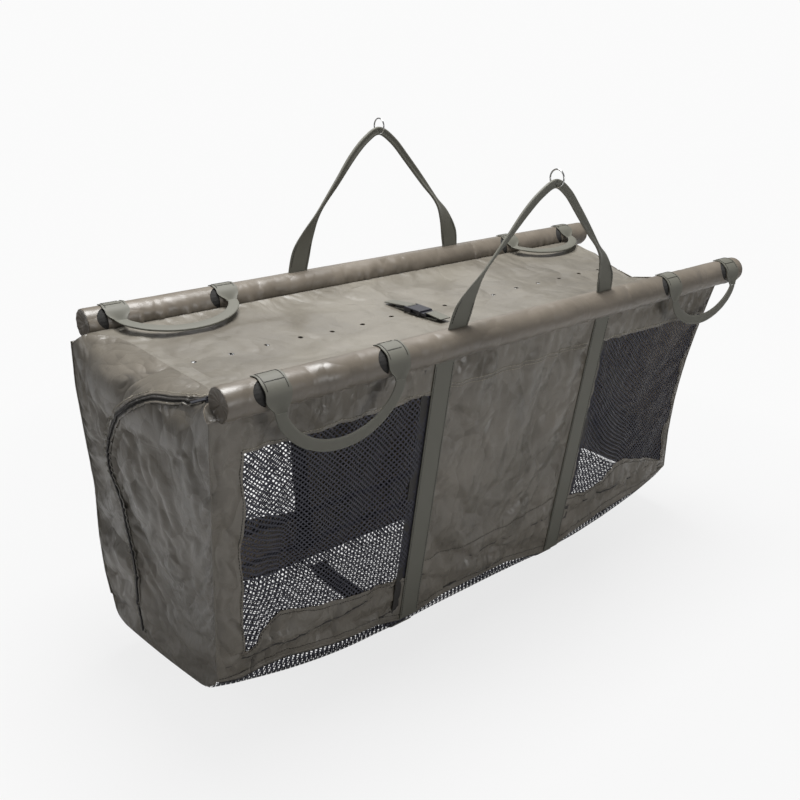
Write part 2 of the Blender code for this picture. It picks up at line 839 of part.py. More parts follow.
def build_handle(name, first, second, axis_y, axis_z, toward, slope, depth):
    """A loop from pinch to pinch, hanging in the plane at a slope below the horizontal."""
    middle, half = (first + second) / 2, (second - first) / 2
    down = Vector((0.0, toward * cos(slope), -sin(slope)))
    normal = Vector((1.0, 0.0, 0.0)).cross(down)
    path = []
    for k in range(handle_steps + 1):
        angle = pi * k / handle_steps
        swell = abs(sin(angle)) ** handle_power
        x = middle - half * cos(angle)
        path.append(Vector((x, axis_y, axis_z)) + down * (handle_start + (depth - handle_start) * swell))
    path.insert(1, path[0] + down * handle_start * 3)
    path.insert(len(path) - 1, path[-1] + down * handle_start * 3)
    sections = []
    for i, point in enumerate(path):
        along = (path[min(i + 1, len(path) - 1)] - path[max(i - 1, 0)]).normalized()
        if i in (0, len(path) - 1):
            along = down if i == 0 else -down
        across = along.cross(normal).normalized()
        thick = handle_neck_thickness if i in (0, len(path) - 1) else handle_thickness
        sections.append((point, across, normal, handle_width / 2, thick / 2))
    place(loft(name, sections), "webbing", name)


# Hanging straps
def strap_frame(side):
    """Origin at the bar's axis, the way up in the strap's plane, and the plane's normal."""
    lean = front_strap_lean if side < 0 else rear_strap_lean
    up = Vector((0.0, side * sin(lean), cos(lean)))
    return Vector((0.0, side * half_spacing, bar_height)), up


def strap_path(side):
    span = front_strap_span if side < 0 else rear_strap_span
    rise = front_strap_rise if side < 0 else rear_strap_rise
    shift = front_strap_shift if side < 0 else rear_strap_shift
    foot = sleeve_radius + layer_gap
    return [(shift + span * x, foot + (rise - foot) * z, webbing_width * w / 2, strap_thickness * t / 2)
            for x, z, w, t in strap_shares]


def strap_apex(side):
    path = smooth_points(strap_path(side), strap_between_steps)
    top = max(path, key=lambda row: row[1])
    origin, up = strap_frame(side)
    return Vector((top[0], origin.y, origin.z)) + up * top[1], top


def build_strap(side, word):
    origin, up = strap_frame(side)
    normal = Vector((1.0, 0.0, 0.0)).cross(up)
    path = smooth_points(strap_path(side), strap_between_steps)
    points = [Vector((row[0], origin.y, origin.z)) + up * row[1] for row in path]
    sections = []
    for i, row in enumerate(path):
        along = (points[min(i + 1, len(points) - 1)] - points[max(i - 1, 0)]).normalized()
        if i in (0, len(path) - 1):
            along = up if i == 0 else -up
        across = along.cross(normal).normalized()
        sections.append((points[i], across, normal, row[2], row[3]))
    place(loft(word + "_hanging_strap", sections), "webbing", word + "_hanging_strap")
    apex, top = strap_apex(side)
    ring_radius = ring_bore_radius + ring_wire_radius
    centre = apex + up * (ring_bore_radius - top[2] - ring_seat_gap)
    wire = []
    for k in range(8):
        angle = 2 * pi * k / 8
        wire.append((ring_wire_radius * sin(angle), ring_radius + ring_wire_radius * cos(angle)))
    ring = turned_along_x(word + "_ring", wire, centre.x, centre.y, centre.z, bar_sides)
    place(ring, "steel", word + "_ring")


# Zip along the front bar, its slider and puller
def build_lid_zip(coil_y):
    start = left_edge + zip_end_margin
    end = right_edge - zip_end_margin
    z = lid_z(lid_clear_y) - lid_thickness
    tape_y = half_spacing - sleeve_clear
    tape_low = (start, -tape_y, z - zip_tape_thickness / 2)
    tape_high = (end, -coil_y, z + zip_tape_thickness / 2)
    coil_low = (start, -coil_y - coil_width / 2, z - coil_height / 2)
    coil_high = (end, -coil_y + coil_width / 2, z + coil_height / 2)
    coil = soften(boxes("lid_zip", [(coil_low, coil_high)]), coil_height / 4, 1)
    coil = boolean(coil, boxes("tape", [(tape_low, tape_high)]), "UNION")
    coil.name = "lid_zip"
    place(coil, "zip", "front_bar", smooth=False)

    x = start + slider_length / 2
    gap = slider_clearance
    half_w = coil_width / 2 + gap + slider_side_wall
    half_h = coil_height / 2 + gap + slider_cover
    half_l = slider_length / 2
    outer = boxes("zip_slider", [((x - half_l, -coil_y - half_w, z - half_h),
                                  (x + half_l, -coil_y + half_w, z + half_h))])
    outer = soften(outer, slider_cover / 2)
    far = half_l + overrun
    channel = boxes("channel", [((x - far, -coil_y - coil_width / 2 - gap, z - coil_height / 2 - gap),
                                 (x + far, -coil_y + coil_width / 2 + gap, z + coil_height / 2 + gap))])
    outer = boolean(outer, channel, "DIFFERENCE")
    tape_half = zip_tape_thickness / 2 + gap
    slit = boxes("slit", [((x - far, -coil_y - half_w - overrun, z - tape_half),
                           (x + far, -coil_y, z + tape_half))])
    outer = boolean(outer, slit, "DIFFERENCE")
    bail_x = x - half_l / 3
    bail_top = z + half_h + bail_window + bail_wall
    bail_half = bail_window / 2 + bail_wall
    bail = boxes("bail", [((bail_x - bail_half, -coil_y - bail_width / 2, z + half_h - slider_cover / 2),
                           (bail_x + bail_half, -coil_y + bail_width / 2, bail_top))])
    window = boxes("bail_window", [((bail_x - bail_window / 2, -coil_y - bail_width, z + half_h),
                                    (bail_x + bail_window / 2, -coil_y + bail_width,
                                     z + half_h + bail_window))])
    bail = boolean(bail, window, "DIFFERENCE")
    outer = boolean(outer, bail, "UNION")
    outer.name = "zip_slider"
    place(outer, "black_plastic", "zip_slider", smooth=False)


def slider_pin():
    """Where the puller turns: the middle of the slider's bail."""
    coil_y = half_spacing - sleeve_clear - zip_tape_width
    x = left_edge + zip_end_margin + slider_length / 2 - slider_length / 6
    z = lid_z(lid_clear_y) - lid_thickness
    top = z + coil_height / 2 + slider_clearance + slider_cover
    return Vector((x, -coil_y, top + bail_window / 2))


def build_puller():
    """A plate whose two cheeks straddle the bail, joined by a pin through its window."""
    pin = slider_pin()
    cheek = bail_width / 2 + slider_clearance
    bail_half = bail_window / 2 + bail_wall
    slot_end = hypot(bail_half, bail_half) + slider_clearance
    half_w = puller_width / 2
    tip_half = puller_tip_width / 2
    outline = rounded([(puller_end, half_w), (puller_end, -half_w),
                       (-puller_length, -tip_half), (-puller_length, tip_half)], puller_end / 2, 2)
    slot = [(-slot_end, cheek), (-slot_end, -cheek), (puller_end * 2, -cheek), (puller_end * 2, cheek)]
    matrix = Matrix.Translation(pin)
    plate = flat_piece("zip_puller", [outline], puller_thickness, matrix)
    cutter = flat_piece("slot", [slot], puller_thickness + overrun, matrix)
    plate = boolean(plate, cutter, "DIFFERENCE")
    bm = bmesh.new()
    turn = Matrix.Translation(pin) @ Matrix.Rotation(pi / 2, 4, "X")
    bmesh.ops.create_cone(bm, cap_ends=True, segments=10, radius1=puller_thickness / 2,
                          radius2=puller_thickness / 2, depth=2 * cheek + slider_clearance * 2,
                          matrix=turn)
    plate = boolean(plate, object_of("pin", bm), "UNION")
    plate.name = "zip_puller"
    place(plate, "black_plastic", "zip_puller", smooth=False)


# Side-release buckle on its webbing tab
buckle_z = lid_z(tail_end_y) + lid_thickness / 2 + layer_gap + webbing_thickness * 1.5 \
    + female_thickness / 4


def buckle_boxes(name, pairs):
    return boxes(name, [((buckle_x + lo[0], lo[1], buckle_z + lo[2]),
                         (buckle_x + hi[0], hi[1], buckle_z + hi[2])) for lo, hi in pairs])


def loop_webbing(name, body, bar_y, bar_half_length, bar_half_height, way, long_end, short_end):
    """Webbing folded round a buckle's bar, its two runs lying back to back."""
    half_t = webbing_thickness / 2
    radius = hypot(bar_half_length, bar_half_height) + layer_gap + half_t
    points = [long_end, ((long_end[0] + bar_y) / 2, (long_end[1] + buckle_z + radius) / 2)]
    steps = 6
    for k in range(steps + 1):
        angle = pi / 2 - pi * k / steps
        points.append((bar_y - way * radius * cos(angle), buckle_z + radius * sin(angle)))
    points.append(((short_end[0] + bar_y) / 2, (short_end[1] + buckle_z - radius) / 2))
    points.append(short_end)
    sections = []
    for i, (y, z) in enumerate(points):
        before, after = points[max(i - 1, 0)], points[min(i + 1, len(points) - 1)]
        along = Vector((after[0] - before[0], after[1] - before[1])).normalized()
        through = Vector((0.0, -along.y, along.x))
        sections.append((Vector((buckle_x, y, z)), Vector((1.0, 0.0, 0.0)), through,
                         buckle_webbing_width / 2, half_t))
    place(loft(name, sections), "webbing", body)


def build_buckle():
    half_w, half_t = female_width / 2, female_thickness / 2
    front = female_start_y - female_length
    shell = buckle_boxes("buckle_female", [((-half_w, front, -half_t), (half_w, female_start_y, half_t))])
    shell = soften(shell, buckle_edge_radius)
    bore_w, bore_t = half_w - female_wall, half_t - female_wall
    bore = ((-bore_w, front - overrun, -bore_t), (bore_w, front + female_bore_depth, bore_t))
    window_low = front + female_window_start
    side_window = ((-half_w - overrun, window_low, -bore_t),
                   (half_w + overrun, window_low + female_window_length, bore_t))
    slot_high = female_start_y - female_bar
    slot_half = buckle_webbing_width / 2 + layer_gap * 2
    slot = ((-slot_half, slot_high - female_slot, -half_t - overrun),
            (slot_half, slot_high, half_t + overrun))
    bar_half = female_bar / 2
    above_bar = ((-slot_half, slot_high - female_slot, bar_half),
                 (slot_half, female_start_y + overrun, half_t + overrun))
    below_bar = ((-slot_half, slot_high - female_slot, -half_t - overrun),
                 (slot_half, female_start_y + overrun, -bar_half))
    for number, pair in enumerate((bore, side_window, slot, above_bar, below_bar)):
        shell = boolean(shell, buckle_boxes("female_cut_" + str(number), [pair]), "DIFFERENCE")
    shell.name = "buckle_female"
    place(shell, "black_plastic", "buckle", smooth=False)

    # Male half: a slotted base and a guide tongue in one outline
    core_t = 2 * (bore_t - buckle_gap)
    root_y = front - buckle_gap
    base_y = root_y - male_length
    base_half = half_w - female_wall
    tongue = male_tongue_width / 2
    tip_y = root_y + female_bore_depth - 3 * female_wall
    outline = [(base_half, root_y), (tongue, root_y), (tongue, tip_y), (-tongue, tip_y),
               (-tongue, root_y), (-base_half, root_y), (-base_half, base_y), (base_half, base_y)]
    slot_half = buckle_webbing_width / 2 + layer_gap * 2
    slot_low = base_y + male_bar
    slot_hole = [(-slot_half, slot_low), (slot_half, slot_low),
                 (slot_half, slot_low + male_slot), (-slot_half, slot_low + male_slot)]
    at_buckle = Matrix.Translation((buckle_x, 0.0, buckle_z))
    core = flat_piece("buckle_male", [outline, slot_hole], core_t, at_buckle)
    place(core, "black_plastic", "buckle_male", smooth=False)
    for word, way in (("left", -1), ("right", 1)):
        outer = base_half - buckle_gap
        start = root_y + buckle_gap
        shape = [(outer - prong_root_width, start), (outer, start),
                 (outer, start + prong_length - prong_shoulder / 2), (outer - prong_root_width / 2,
                                                                      start + prong_length),
                 (outer - prong_tip_width, start + prong_length),
                 (outer - prong_tip_width, start + prong_length - prong_shoulder)]
        shape = [(way * u, v) for u, v in shape]
        prong = flat_piece("buckle_prong_" + word, [shape], core_t, at_buckle)
        place(prong, "black_plastic", "buckle_prong_" + word, smooth=False)

    lid_top = lid_thickness / 2 + layer_gap + webbing_thickness / 2
    sewn = (tab_sewn_y, lid_z(tab_sewn_y) + lid_top)
    short = (tab_sewn_y / 2, lid_z(tab_sewn_y / 2) + lid_top)
    upper = (tab_sewn_y, sewn[1] + webbing_thickness + layer_gap)
    loop_webbing("buckle_tab", "buckle", female_start_y - bar_half, bar_half, bar_half, 1,
                 upper, short)
    tail = (tail_end_y, buckle_z + webbing_thickness)
    tail_short = (tail_end_y + 3 * male_bar, buckle_z - webbing_thickness)
    loop_webbing("buckle_tail", "buckle_male", base_y + male_bar / 2, male_bar / 2, core_t / 2, -1,
                 tail, tail_short)
    return root_y, base_half


# The bodies, each on its joint's axis
def add_bodies():
    add_body("root", (0.0, 0.0, 0.0))
    for word, side in (("front", -1), ("rear", 1)):
        bar = Vector((0.0, side * half_spacing, bar_height))
        add_body(word + "_bar", bar, "root")
        add_body(word + "_wall", bar, word + "_bar")
        add_body(word + "_hanging_strap", bar, word + "_bar")
        add_body(word + "_ring", strap_apex(side)[0], word + "_hanging_strap")
        reach = front_handle_reach if side < 0 else rear_handle_reach
        drop = front_handle_drop if side < 0 else rear_handle_drop
        places = front_tab_places if side < 0 else rear_tab_places
        for number, end_word in enumerate(("left", "right")):
            middle = (places[2 * number] + places[2 * number + 1]) / 2
            axis = (middle, side * half_spacing - reach, bar_height - drop)
            add_body(word + "_handle_" + end_word, axis, word + "_bar")
    lid_hinge = (bag_shift, lid_fold_y, lid_z(lid_fold_y) + lid_thickness / 2)
    add_body("lid_flap", lid_hinge, "root")
    tab_hinge = (buckle_x, tab_sewn_y, lid_z(tab_sewn_y) + lid_thickness / 2 + layer_gap)
    add_body("buckle", tab_hinge, "lid_flap")
    root_y = female_start_y - female_length - buckle_gap
    add_body("buckle_male", (buckle_x, root_y, buckle_z), "buckle")
    prong_x = female_width / 2 - female_wall - buckle_gap - prong_root_width / 2
    for word, way in (("left", -1), ("right", 1)):
        add_body("buckle_prong_" + word, (buckle_x + way * prong_x, root_y + buckle_gap, buckle_z),
                 "buckle_male")
    pin = slider_pin()
    add_body("zip_slider", pin, "front_bar")
    add_body("zip_puller", pin, "zip_slider")


def stand_on_ground():
    """Move the whole sling so that its box's bottom centre is the origin."""
    bpy.context.view_layer.update()
    corners = []
    for obj in sling.objects:
        if obj.type == "MESH":
            corners += [obj.matrix_world @ vert.co for vert in obj.data.vertices]
    low = Vector([min(c[i] for c in corners) for i in range(3)])
    high = Vector([max(c[i] for c in corners) for i in range(3)])
    empties["root"].location = -Vector(((low.x + high.x) / 2, (low.y + high.y) / 2, low.z))
    bpy.context.view_layer.update()


add_bodies()
for way, name_word in ((-1, "front"), (1, "rear")):
    build_bar(way, name_word)
    build_wall(way, name_word)
    build_handles(way, name_word)
    build_strap(way, name_word)
build_base()
for way, name_word in ((-1, "left"), (1, "right")):
    build_end(way, name_word)
    build_end_zip(way, name_word)
build_lid_zip(build_lid())
build_puller()
build_buckle()
stand_on_ground()
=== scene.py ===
"""Weigh sling: the looks of its cloth, nets, webbing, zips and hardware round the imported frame.

Metres. Each piece is laid out in the sling's own frame (X = 0 at the middle of the bars,
Y = 0 midway between them, Z = 0 on the ground), then moved by one shift to the frame's.
"""
from math import atan2, ceil, cos, hypot, pi, radians, sin, sqrt, tan

import bmesh
import bpy
import numpy as np
from mathutils import Matrix, Vector, noise


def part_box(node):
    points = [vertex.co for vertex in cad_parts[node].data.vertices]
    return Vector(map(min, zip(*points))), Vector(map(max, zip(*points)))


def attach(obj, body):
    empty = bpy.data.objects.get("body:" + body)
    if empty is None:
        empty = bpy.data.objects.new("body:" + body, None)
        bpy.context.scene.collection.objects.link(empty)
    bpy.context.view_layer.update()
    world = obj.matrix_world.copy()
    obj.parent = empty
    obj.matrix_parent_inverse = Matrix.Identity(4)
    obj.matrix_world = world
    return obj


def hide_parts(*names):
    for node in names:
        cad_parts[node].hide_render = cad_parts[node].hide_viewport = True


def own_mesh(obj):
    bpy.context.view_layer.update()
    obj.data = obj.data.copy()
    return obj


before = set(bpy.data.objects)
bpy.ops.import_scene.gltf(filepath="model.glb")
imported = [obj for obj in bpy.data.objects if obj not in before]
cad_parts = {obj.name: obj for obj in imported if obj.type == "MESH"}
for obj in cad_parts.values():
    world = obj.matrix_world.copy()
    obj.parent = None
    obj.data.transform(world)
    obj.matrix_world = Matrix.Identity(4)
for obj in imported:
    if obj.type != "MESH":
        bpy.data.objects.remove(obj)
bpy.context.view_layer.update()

# Where the sling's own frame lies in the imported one: midway between the two tubes
front_low, front_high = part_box("front_bar_tube")
rear_low, rear_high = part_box("rear_bar_tube")
shift = Vector(((front_low.x + front_high.x) / 2, (front_low.y + rear_high.y) / 2, 0.0))

# Bars
bar_length = 1.200
half_spacing = (rear_high.y - front_low.y) / 2 - 0.0095
bar_height = (front_low.z + front_high.z) / 2
sleeve_radius = 0.0240
sleeve_wall = 0.0008
foam_end = 0.594

# Cloth, net and webbing
cloth_thickness = 0.0009
net_thickness = 0.0008
webbing_width = 0.040
webbing_thickness = 0.0016
layer_gap = 0.0003
seam_gap = 0.0005
sleeve_clear = sleeve_radius + seam_gap
net_cell = 0.0066
base_net_cell = 0.0068
net_strand = 0.0025
net_lap = 0.008

# Bag
bag_length = 1.150
bag_shift = -0.028
half_bag = bag_length / 2
left_edge = bag_shift - half_bag
right_edge = bag_shift + half_bag
foot_half_width = 0.145
foot_height = 0.1025
wall_slope = atan2(half_spacing - foot_half_width, bar_height - foot_height)
foot_length_share = 0.45
foot_width_share = 5 / 7
lift_power = 1.8
base_end_lift = 0.060
base_side_lift = 0.022
base_corner_lift = 0.020
base_rim_lap = 0.008
left_end_swell = 0.004
left_top_swell = 0.012
right_end_cave = 0.035
right_end_draw = 0.015
right_top_cave = 0.125
edge_fade_power = 4
# Levels up an end, and how far the left end's rear and front edges stand out at each
end_levels = (0.0, 0.10, 0.25, 0.45, 0.65, 0.85, 1.0)
left_rear_bulges = (0.014, 0.018, 0.019, 0.014, 0.018, 0.021, 0.018)
left_front_bulges = (-0.014, -0.011, -0.007, -0.002, 0.002, 0.007, 0.010)
# Places across the right end from rear to front, and shares of its cave at the lid
top_cave_places = (0.0, 0.25, 0.50, 0.75, 0.90, 1.0)
top_cave_shares = (0.0, 0.15, 0.58, 1.0, 0.75, 0.05)
# Drop and run of the rounded shoulders between ends and lid, at the bars and between them
shoulder_drops = {-1: (0.026, 0.060), 1: (0.026, 0.016)}
shoulder_runs = {-1: (0.004, 0.036), 1: (0.004, 0.010)}
# Places along the front wall, and how far its hem is drawn up there
hem_rises = (
    (-0.603, -0.012), (-0.560, -0.006), (-0.520, 0.012), (-0.470, 0.026), (-0.280, 0.026),
    (-0.226, 0.012), (-0.186, 0.012), (-0.120, 0.024), (0.040, 0.026), (0.110, 0.012),
    (0.160, 0.002), (0.200, 0.004), (0.240, 0.018), (0.330, 0.026), (0.400, 0.018),
    (0.470, 0.002), (0.547, 0.0),
)

# Windows: columns along the wall, rows down from the bar's axis
window_edges = ((-0.555, -0.222), (0.205, 0.530))
window_top = -0.081
# Lower edge of the windows: place along the wall and depth
window_foot = (
    (-0.603, -0.432), (-0.560, -0.436), (-0.530, -0.420), (-0.512, -0.394), (-0.492, -0.374),
    (-0.455, -0.388), (-0.420, -0.403), (-0.345, -0.413), (-0.280, -0.424), (-0.209, -0.436),
    (-0.100, -0.436), (0.100, -0.428), (0.203, -0.414), (0.250, -0.419), (0.284, -0.417),
    (0.315, -0.402), (0.350, -0.385), (0.382, -0.381), (0.450, -0.400), (0.508, -0.424),
    (0.547, -0.440),
)
webbing_places = (-0.206, 0.180)
inner_seam_depths = (-0.440, -0.505)
inner_tape = 0.0006
inner_tape_width = 0.012

# Lid
lid_edge_drop = 0.007
lid_sag = 0.009
lid_fold_y = 0.060
lid_thickness = 0.0014
hole_radius = 0.0042
hole_pitch = 0.0628
hole_places = 18
hole_place_of_buckle = 8
first_hole_x = -0.5853
lid_clear_y = half_spacing - sleeve_clear - layer_gap
coil_y = half_spacing - sleeve_clear - 0.010
lid_front_y = -coil_y + 0.0054

# Handles, tabs and hanging straps
tab_places = {-1: (-0.527, -0.323, 0.359, 0.558), 1: (-0.551, -0.355, 0.346, 0.527)}
handle_depths = {-1: (0.071, 0.054), 1: (0.060, 0.046)}
handle_slope = {-1: pi / 2, 1: radians(11.0)}
handle_reach = 0.0295
handle_drop = {-1: 0.018, 1: -0.006}
handle_width = 0.018
handle_thickness = 0.0048
strap_spans = {-1: (0.357, 0.228, radians(6.0), -0.0095), 1: (0.378, 0.259, 0.0, -0.010)}
strap_thickness = 0.0018
# Place along the span, height, width, thickness, twist in degrees
strap_shares = (
    (-0.500, 0.00, 1.00, 1.0, 0), (-0.478, 0.14, 0.98, 1.0, 0), (-0.435, 0.28, 0.72, 1.6, 12),
    (-0.362, 0.46, 0.42, 2.6, 38), (-0.270, 0.64, 0.37, 3.0, 20), (-0.180, 0.82, 0.36, 3.2, 0),
    (-0.100, 0.94, 0.36, 3.2, 0), (-0.020, 1.00, 0.36, 3.2, 0), (0.070, 0.92, 0.36, 3.2, 0),
    (0.165, 0.77, 0.36, 3.2, 0), (0.285, 0.57, 0.38, 3.0, -18), (0.375, 0.42, 0.36, 2.8, -34),
    (0.440, 0.28, 0.74, 1.8, -14), (0.485, 0.12, 1.02, 1.0, 0), (0.500, 0.00, 1.00, 1.0, 0),
)
ring_bore_radius = 0.0120
ring_wire_radius = 0.00125

# End zip: place across the end from the front (-1) to the rear (1), and height of the end's
# face (0 to 1) and then of its shoulder (1 to 2)
end_zip_shares = (
    (-0.890, 1.91), (-0.750, 1.69), (-0.620, 1.62), (-0.500, 1.56), (-0.380, 1.52),
    (-0.280, 1.47), (-0.190, 1.39), (-0.100, 1.30), (-0.006, 1.20), (0.090, 1.09), (0.200, 0.987),
    (0.300, 0.940), (0.400, 0.885), (0.476, 0.833), (0.527, 0.786), (0.545, 0.740), (0.540, 0.710),
    (0.515, 0.680), (0.440, 0.620), (0.390, 0.527), (0.330, 0.444), (0.290, 0.363), (0.310, 0.246),
    (0.330, 0.131), (0.320, 0.050),
)
coil_width = 0.0042
coil_height = 0.0022
coil_pitch = 0.0016

# Stitching, drawn a little coarse so that it shows
stitch_pitch = 0.0052
stitch_length = 0.0034
stitch_radius = 0.00042

settle_frames = 26


# Node-based finishes
def colour(code):
    """An sRGB hex value as a linear RGBA colour."""
    parts = [int(code[i:i + 2], 16) / 255 for i in (1, 3, 5)]
    return tuple(c / 12.92 if c <= 0.04045 else ((c + 0.055) / 1.055) ** 2.4 for c in parts) + (1.0,)


def add(tree, kind, inputs=(), **settings):
    """Add a node; inputs pairs sockets with values or with other nodes' sockets."""
    made = tree.nodes.new(kind)
    for key, value in settings.items():
        setattr(made, key, value)
    for key, value in dict(inputs).items():
        if isinstance(value, bpy.types.NodeSocket):
            tree.links.new(value, made.inputs[key])
        else:
            made.inputs[key].default_value = value
    return made


def shader_of(name, **values):
    material = bpy.data.materials.new(name)
    material.use_nodes = True
    tree = material.node_tree
    shader = tree.nodes["Principled BSDF"]
    for key, value in values.items():
        shader.inputs[key.replace("_", " ")].default_value = value
    return material, tree, shader


def coated_cloth(name, dark, pale, crease, rough_low, rough_high):
    """Coated woven polyester: a thin film over a fine weave, with glints on every crease."""
    material, tree, shader = shader_of(name, Specular_IOR_Level=0.5, IOR=1.5, Sheen_Weight=0.05,
                                       Sheen_Roughness=0.5, Coat_Weight=0.20, Coat_Roughness=0.25)
    coords = add(tree, "ShaderNodeTexCoord")
    place = coords.outputs["Object"]
    cloudy = add(tree, "ShaderNodeTexNoise", {"Vector": place, "Scale": 6.0, "Detail": 5.0,
                                              "Roughness": 0.6})
    tone = add(tree, "ShaderNodeValToRGB", {"Fac": cloudy.outputs["Fac"]})
    tone.color_ramp.elements[0].color = colour(dark)
    tone.color_ramp.elements[0].position = 0.35
    tone.color_ramp.elements[1].color = colour(pale)
    tone.color_ramp.elements[1].position = 0.65
    tree.links.new(tone.outputs[0], shader.inputs["Base Color"])
    gloss = add(tree, "ShaderNodeMapRange", {"Value": cloudy.outputs["Fac"], "From Min": 0.3,
                                             "From Max": 0.7, "To Min": rough_low,
                                             "To Max": rough_high})
    tree.links.new(gloss.outputs[0], shader.inputs["Roughness"])
    # Crumpled: facets about 55 mm across, each leaning its own way, then three sizes of sharp
    # folds where smooth noise passes through its middle, all bent a little by slow noise
    slow = add(tree, "ShaderNodeTexNoise", {"Vector": place, "Scale": 9.0, "Detail": 1.0})
    bent = add(tree, "ShaderNodeVectorMath", {0: slow.outputs["Color"], 1: (0.05, 0.05, 0.05),
                                              2: place}, operation="MULTIPLY_ADD")
    facets = add(tree, "ShaderNodeTexVoronoi", {"Vector": bent.outputs[0], "Scale": 18.0},
                 distance="MANHATTAN")
    tilt = 0.17 * crease
    lean = add(tree, "ShaderNodeVectorMath", {0: facets.outputs["Color"], 1: (tilt * 2,) * 3,
                                              2: (-tilt,) * 3}, operation="MULTIPLY_ADD")
    leaning = add(tree, "ShaderNodeVectorMath", {0: add(tree, "ShaderNodeNewGeometry").outputs["Normal"],
                                                 1: lean.outputs[0]})
    normal = add(tree, "ShaderNodeVectorMath", {0: leaning.outputs[0]}, operation="NORMALIZE").outputs[0]
    for scale, depth, turn in ((9.0, 0.048, 0.7), (20.0, 0.017, -0.9), (46.0, 0.0045, 0.3)):
        turned = add(tree, "ShaderNodeMapping", {"Vector": bent.outputs[0], "Rotation": (turn, turn, 0.5),
                                                 "Scale": (1.0, 0.75, 0.5)})
        field = add(tree, "ShaderNodeTexNoise", {"Vector": turned.outputs[0], "Scale": scale,
                                                 "Detail": 0.0})
        centred = add(tree, "ShaderNodeMath", {0: field.outputs["Fac"], 1: 0.5}, operation="SUBTRACT")
        folded = add(tree, "ShaderNodeMath", {0: centred.outputs[0]}, operation="ABSOLUTE")
        normal = add(tree, "ShaderNodeBump", {"Height": folded.outputs[0], "Strength": min(1.0, crease),
                                              "Distance": depth, "Normal": normal}).outputs[0]
    crinkle = add(tree, "ShaderNodeTexNoise", {"Vector": place, "Scale": 120.0, "Detail": 4.0,
                                               "Roughness": 0.65, "Distortion": 0.8})
    normal = add(tree, "ShaderNodeBump", {"Height": crinkle.outputs["Fac"], "Strength": crease,
                                          "Distance": 0.0005, "Normal": normal}).outputs[0]
    # Ripstop weave: yarns 0.5 mm apart, too fine to show from afar
    weave = add(tree, "ShaderNodeTexNoise", {"Vector": place, "Scale": 1400.0, "Detail": 1.0})
    normal = add(tree, "ShaderNodeBump", {"Height": weave.outputs["Fac"], "Strength": 0.2,
                                          "Distance": 0.0002, "Normal": normal}).outputs[0]
    tree.links.new(normal, shader.inputs["Normal"])
    return material


def woven_webbing(name, dark, pale):
    """Polypropylene webbing: ribs along it, picks across it, and a dull waxy glint."""
    material, tree, shader = shader_of(name, Roughness=0.62, IOR=1.49, Sheen_Weight=0.15,
                                       Sheen_Roughness=0.4)
    place = add(tree, "ShaderNodeTexCoord").outputs["UV"]
    # Ribs 3.2 mm apart, twice the real pitch so that they show, and picks 1.5 mm apart:
    # a wave is 0.314 / scale long
    ribs = add(tree, "ShaderNodeTexWave", {"Vector": place, "Scale": 0.314 / 0.0032,
                                           "Distortion": 0.3}, bands_direction="X")
    picks = add(tree, "ShaderNodeTexWave", {"Vector": place, "Scale": 0.314 / 0.0015,
                                            "Distortion": 0.3}, bands_direction="Y")
    crossed = add(tree, "ShaderNodeMath", {0: ribs.outputs["Fac"], 1: picks.outputs["Fac"]},
                  operation="MULTIPLY")
    solid = add(tree, "ShaderNodeTexCoord").outputs["Object"]
    wear = add(tree, "ShaderNodeTexNoise", {"Vector": solid, "Scale": 30.0, "Detail": 4.0})
    total = add(tree, "ShaderNodeMath", {0: crossed.outputs[0], 1: wear.outputs["Fac"]},
                operation="MULTIPLY")
    tone = add(tree, "ShaderNodeValToRGB", {"Fac": total.outputs[0]})
    tone.color_ramp.elements[0].color = colour(dark)
    tone.color_ramp.elements[1].color = colour(pale)
    tone.color_ramp.elements[1].position = 0.32
    tree.links.new(tone.outputs[0], shader.inputs["Base Color"])
    bump = add(tree, "ShaderNodeBump", {"Height": crossed.outputs[0], "Strength": 0.5,
                                        "Distance": 0.0004})
    tree.links.new(bump.outputs[0], shader.inputs["Normal"])
    return material


def grained(name, dark, pale, scale, depth, **values):
    """A moulded, spun or drawn finish with a fine grain of its own size."""
    material, tree, shader = shader_of(name, **values)
    place = add(tree, "ShaderNodeTexCoord").outputs["Object"]
    grain = add(tree, "ShaderNodeTexNoise", {"Vector": place, "Scale": scale, "Detail": 4.0})
    tone = add(tree, "ShaderNodeValToRGB", {"Fac": grain.outputs["Fac"]})
    tone.color_ramp.elements[0].color = colour(dark)
    tone.color_ramp.elements[0].position = 0.35
    tone.color_ramp.elements[1].color = colour(pale)
    tone.color_ramp.elements[1].position = 0.65
    tree.links.new(tone.outputs[0], shader.inputs["Base Color"])
    bump = add(tree, "ShaderNodeBump", {"Height": grain.outputs["Fac"], "Strength": 0.4,
                                        "Distance": depth})
    tree.links.new(bump.outputs[0], shader.inputs["Normal"])
    return material


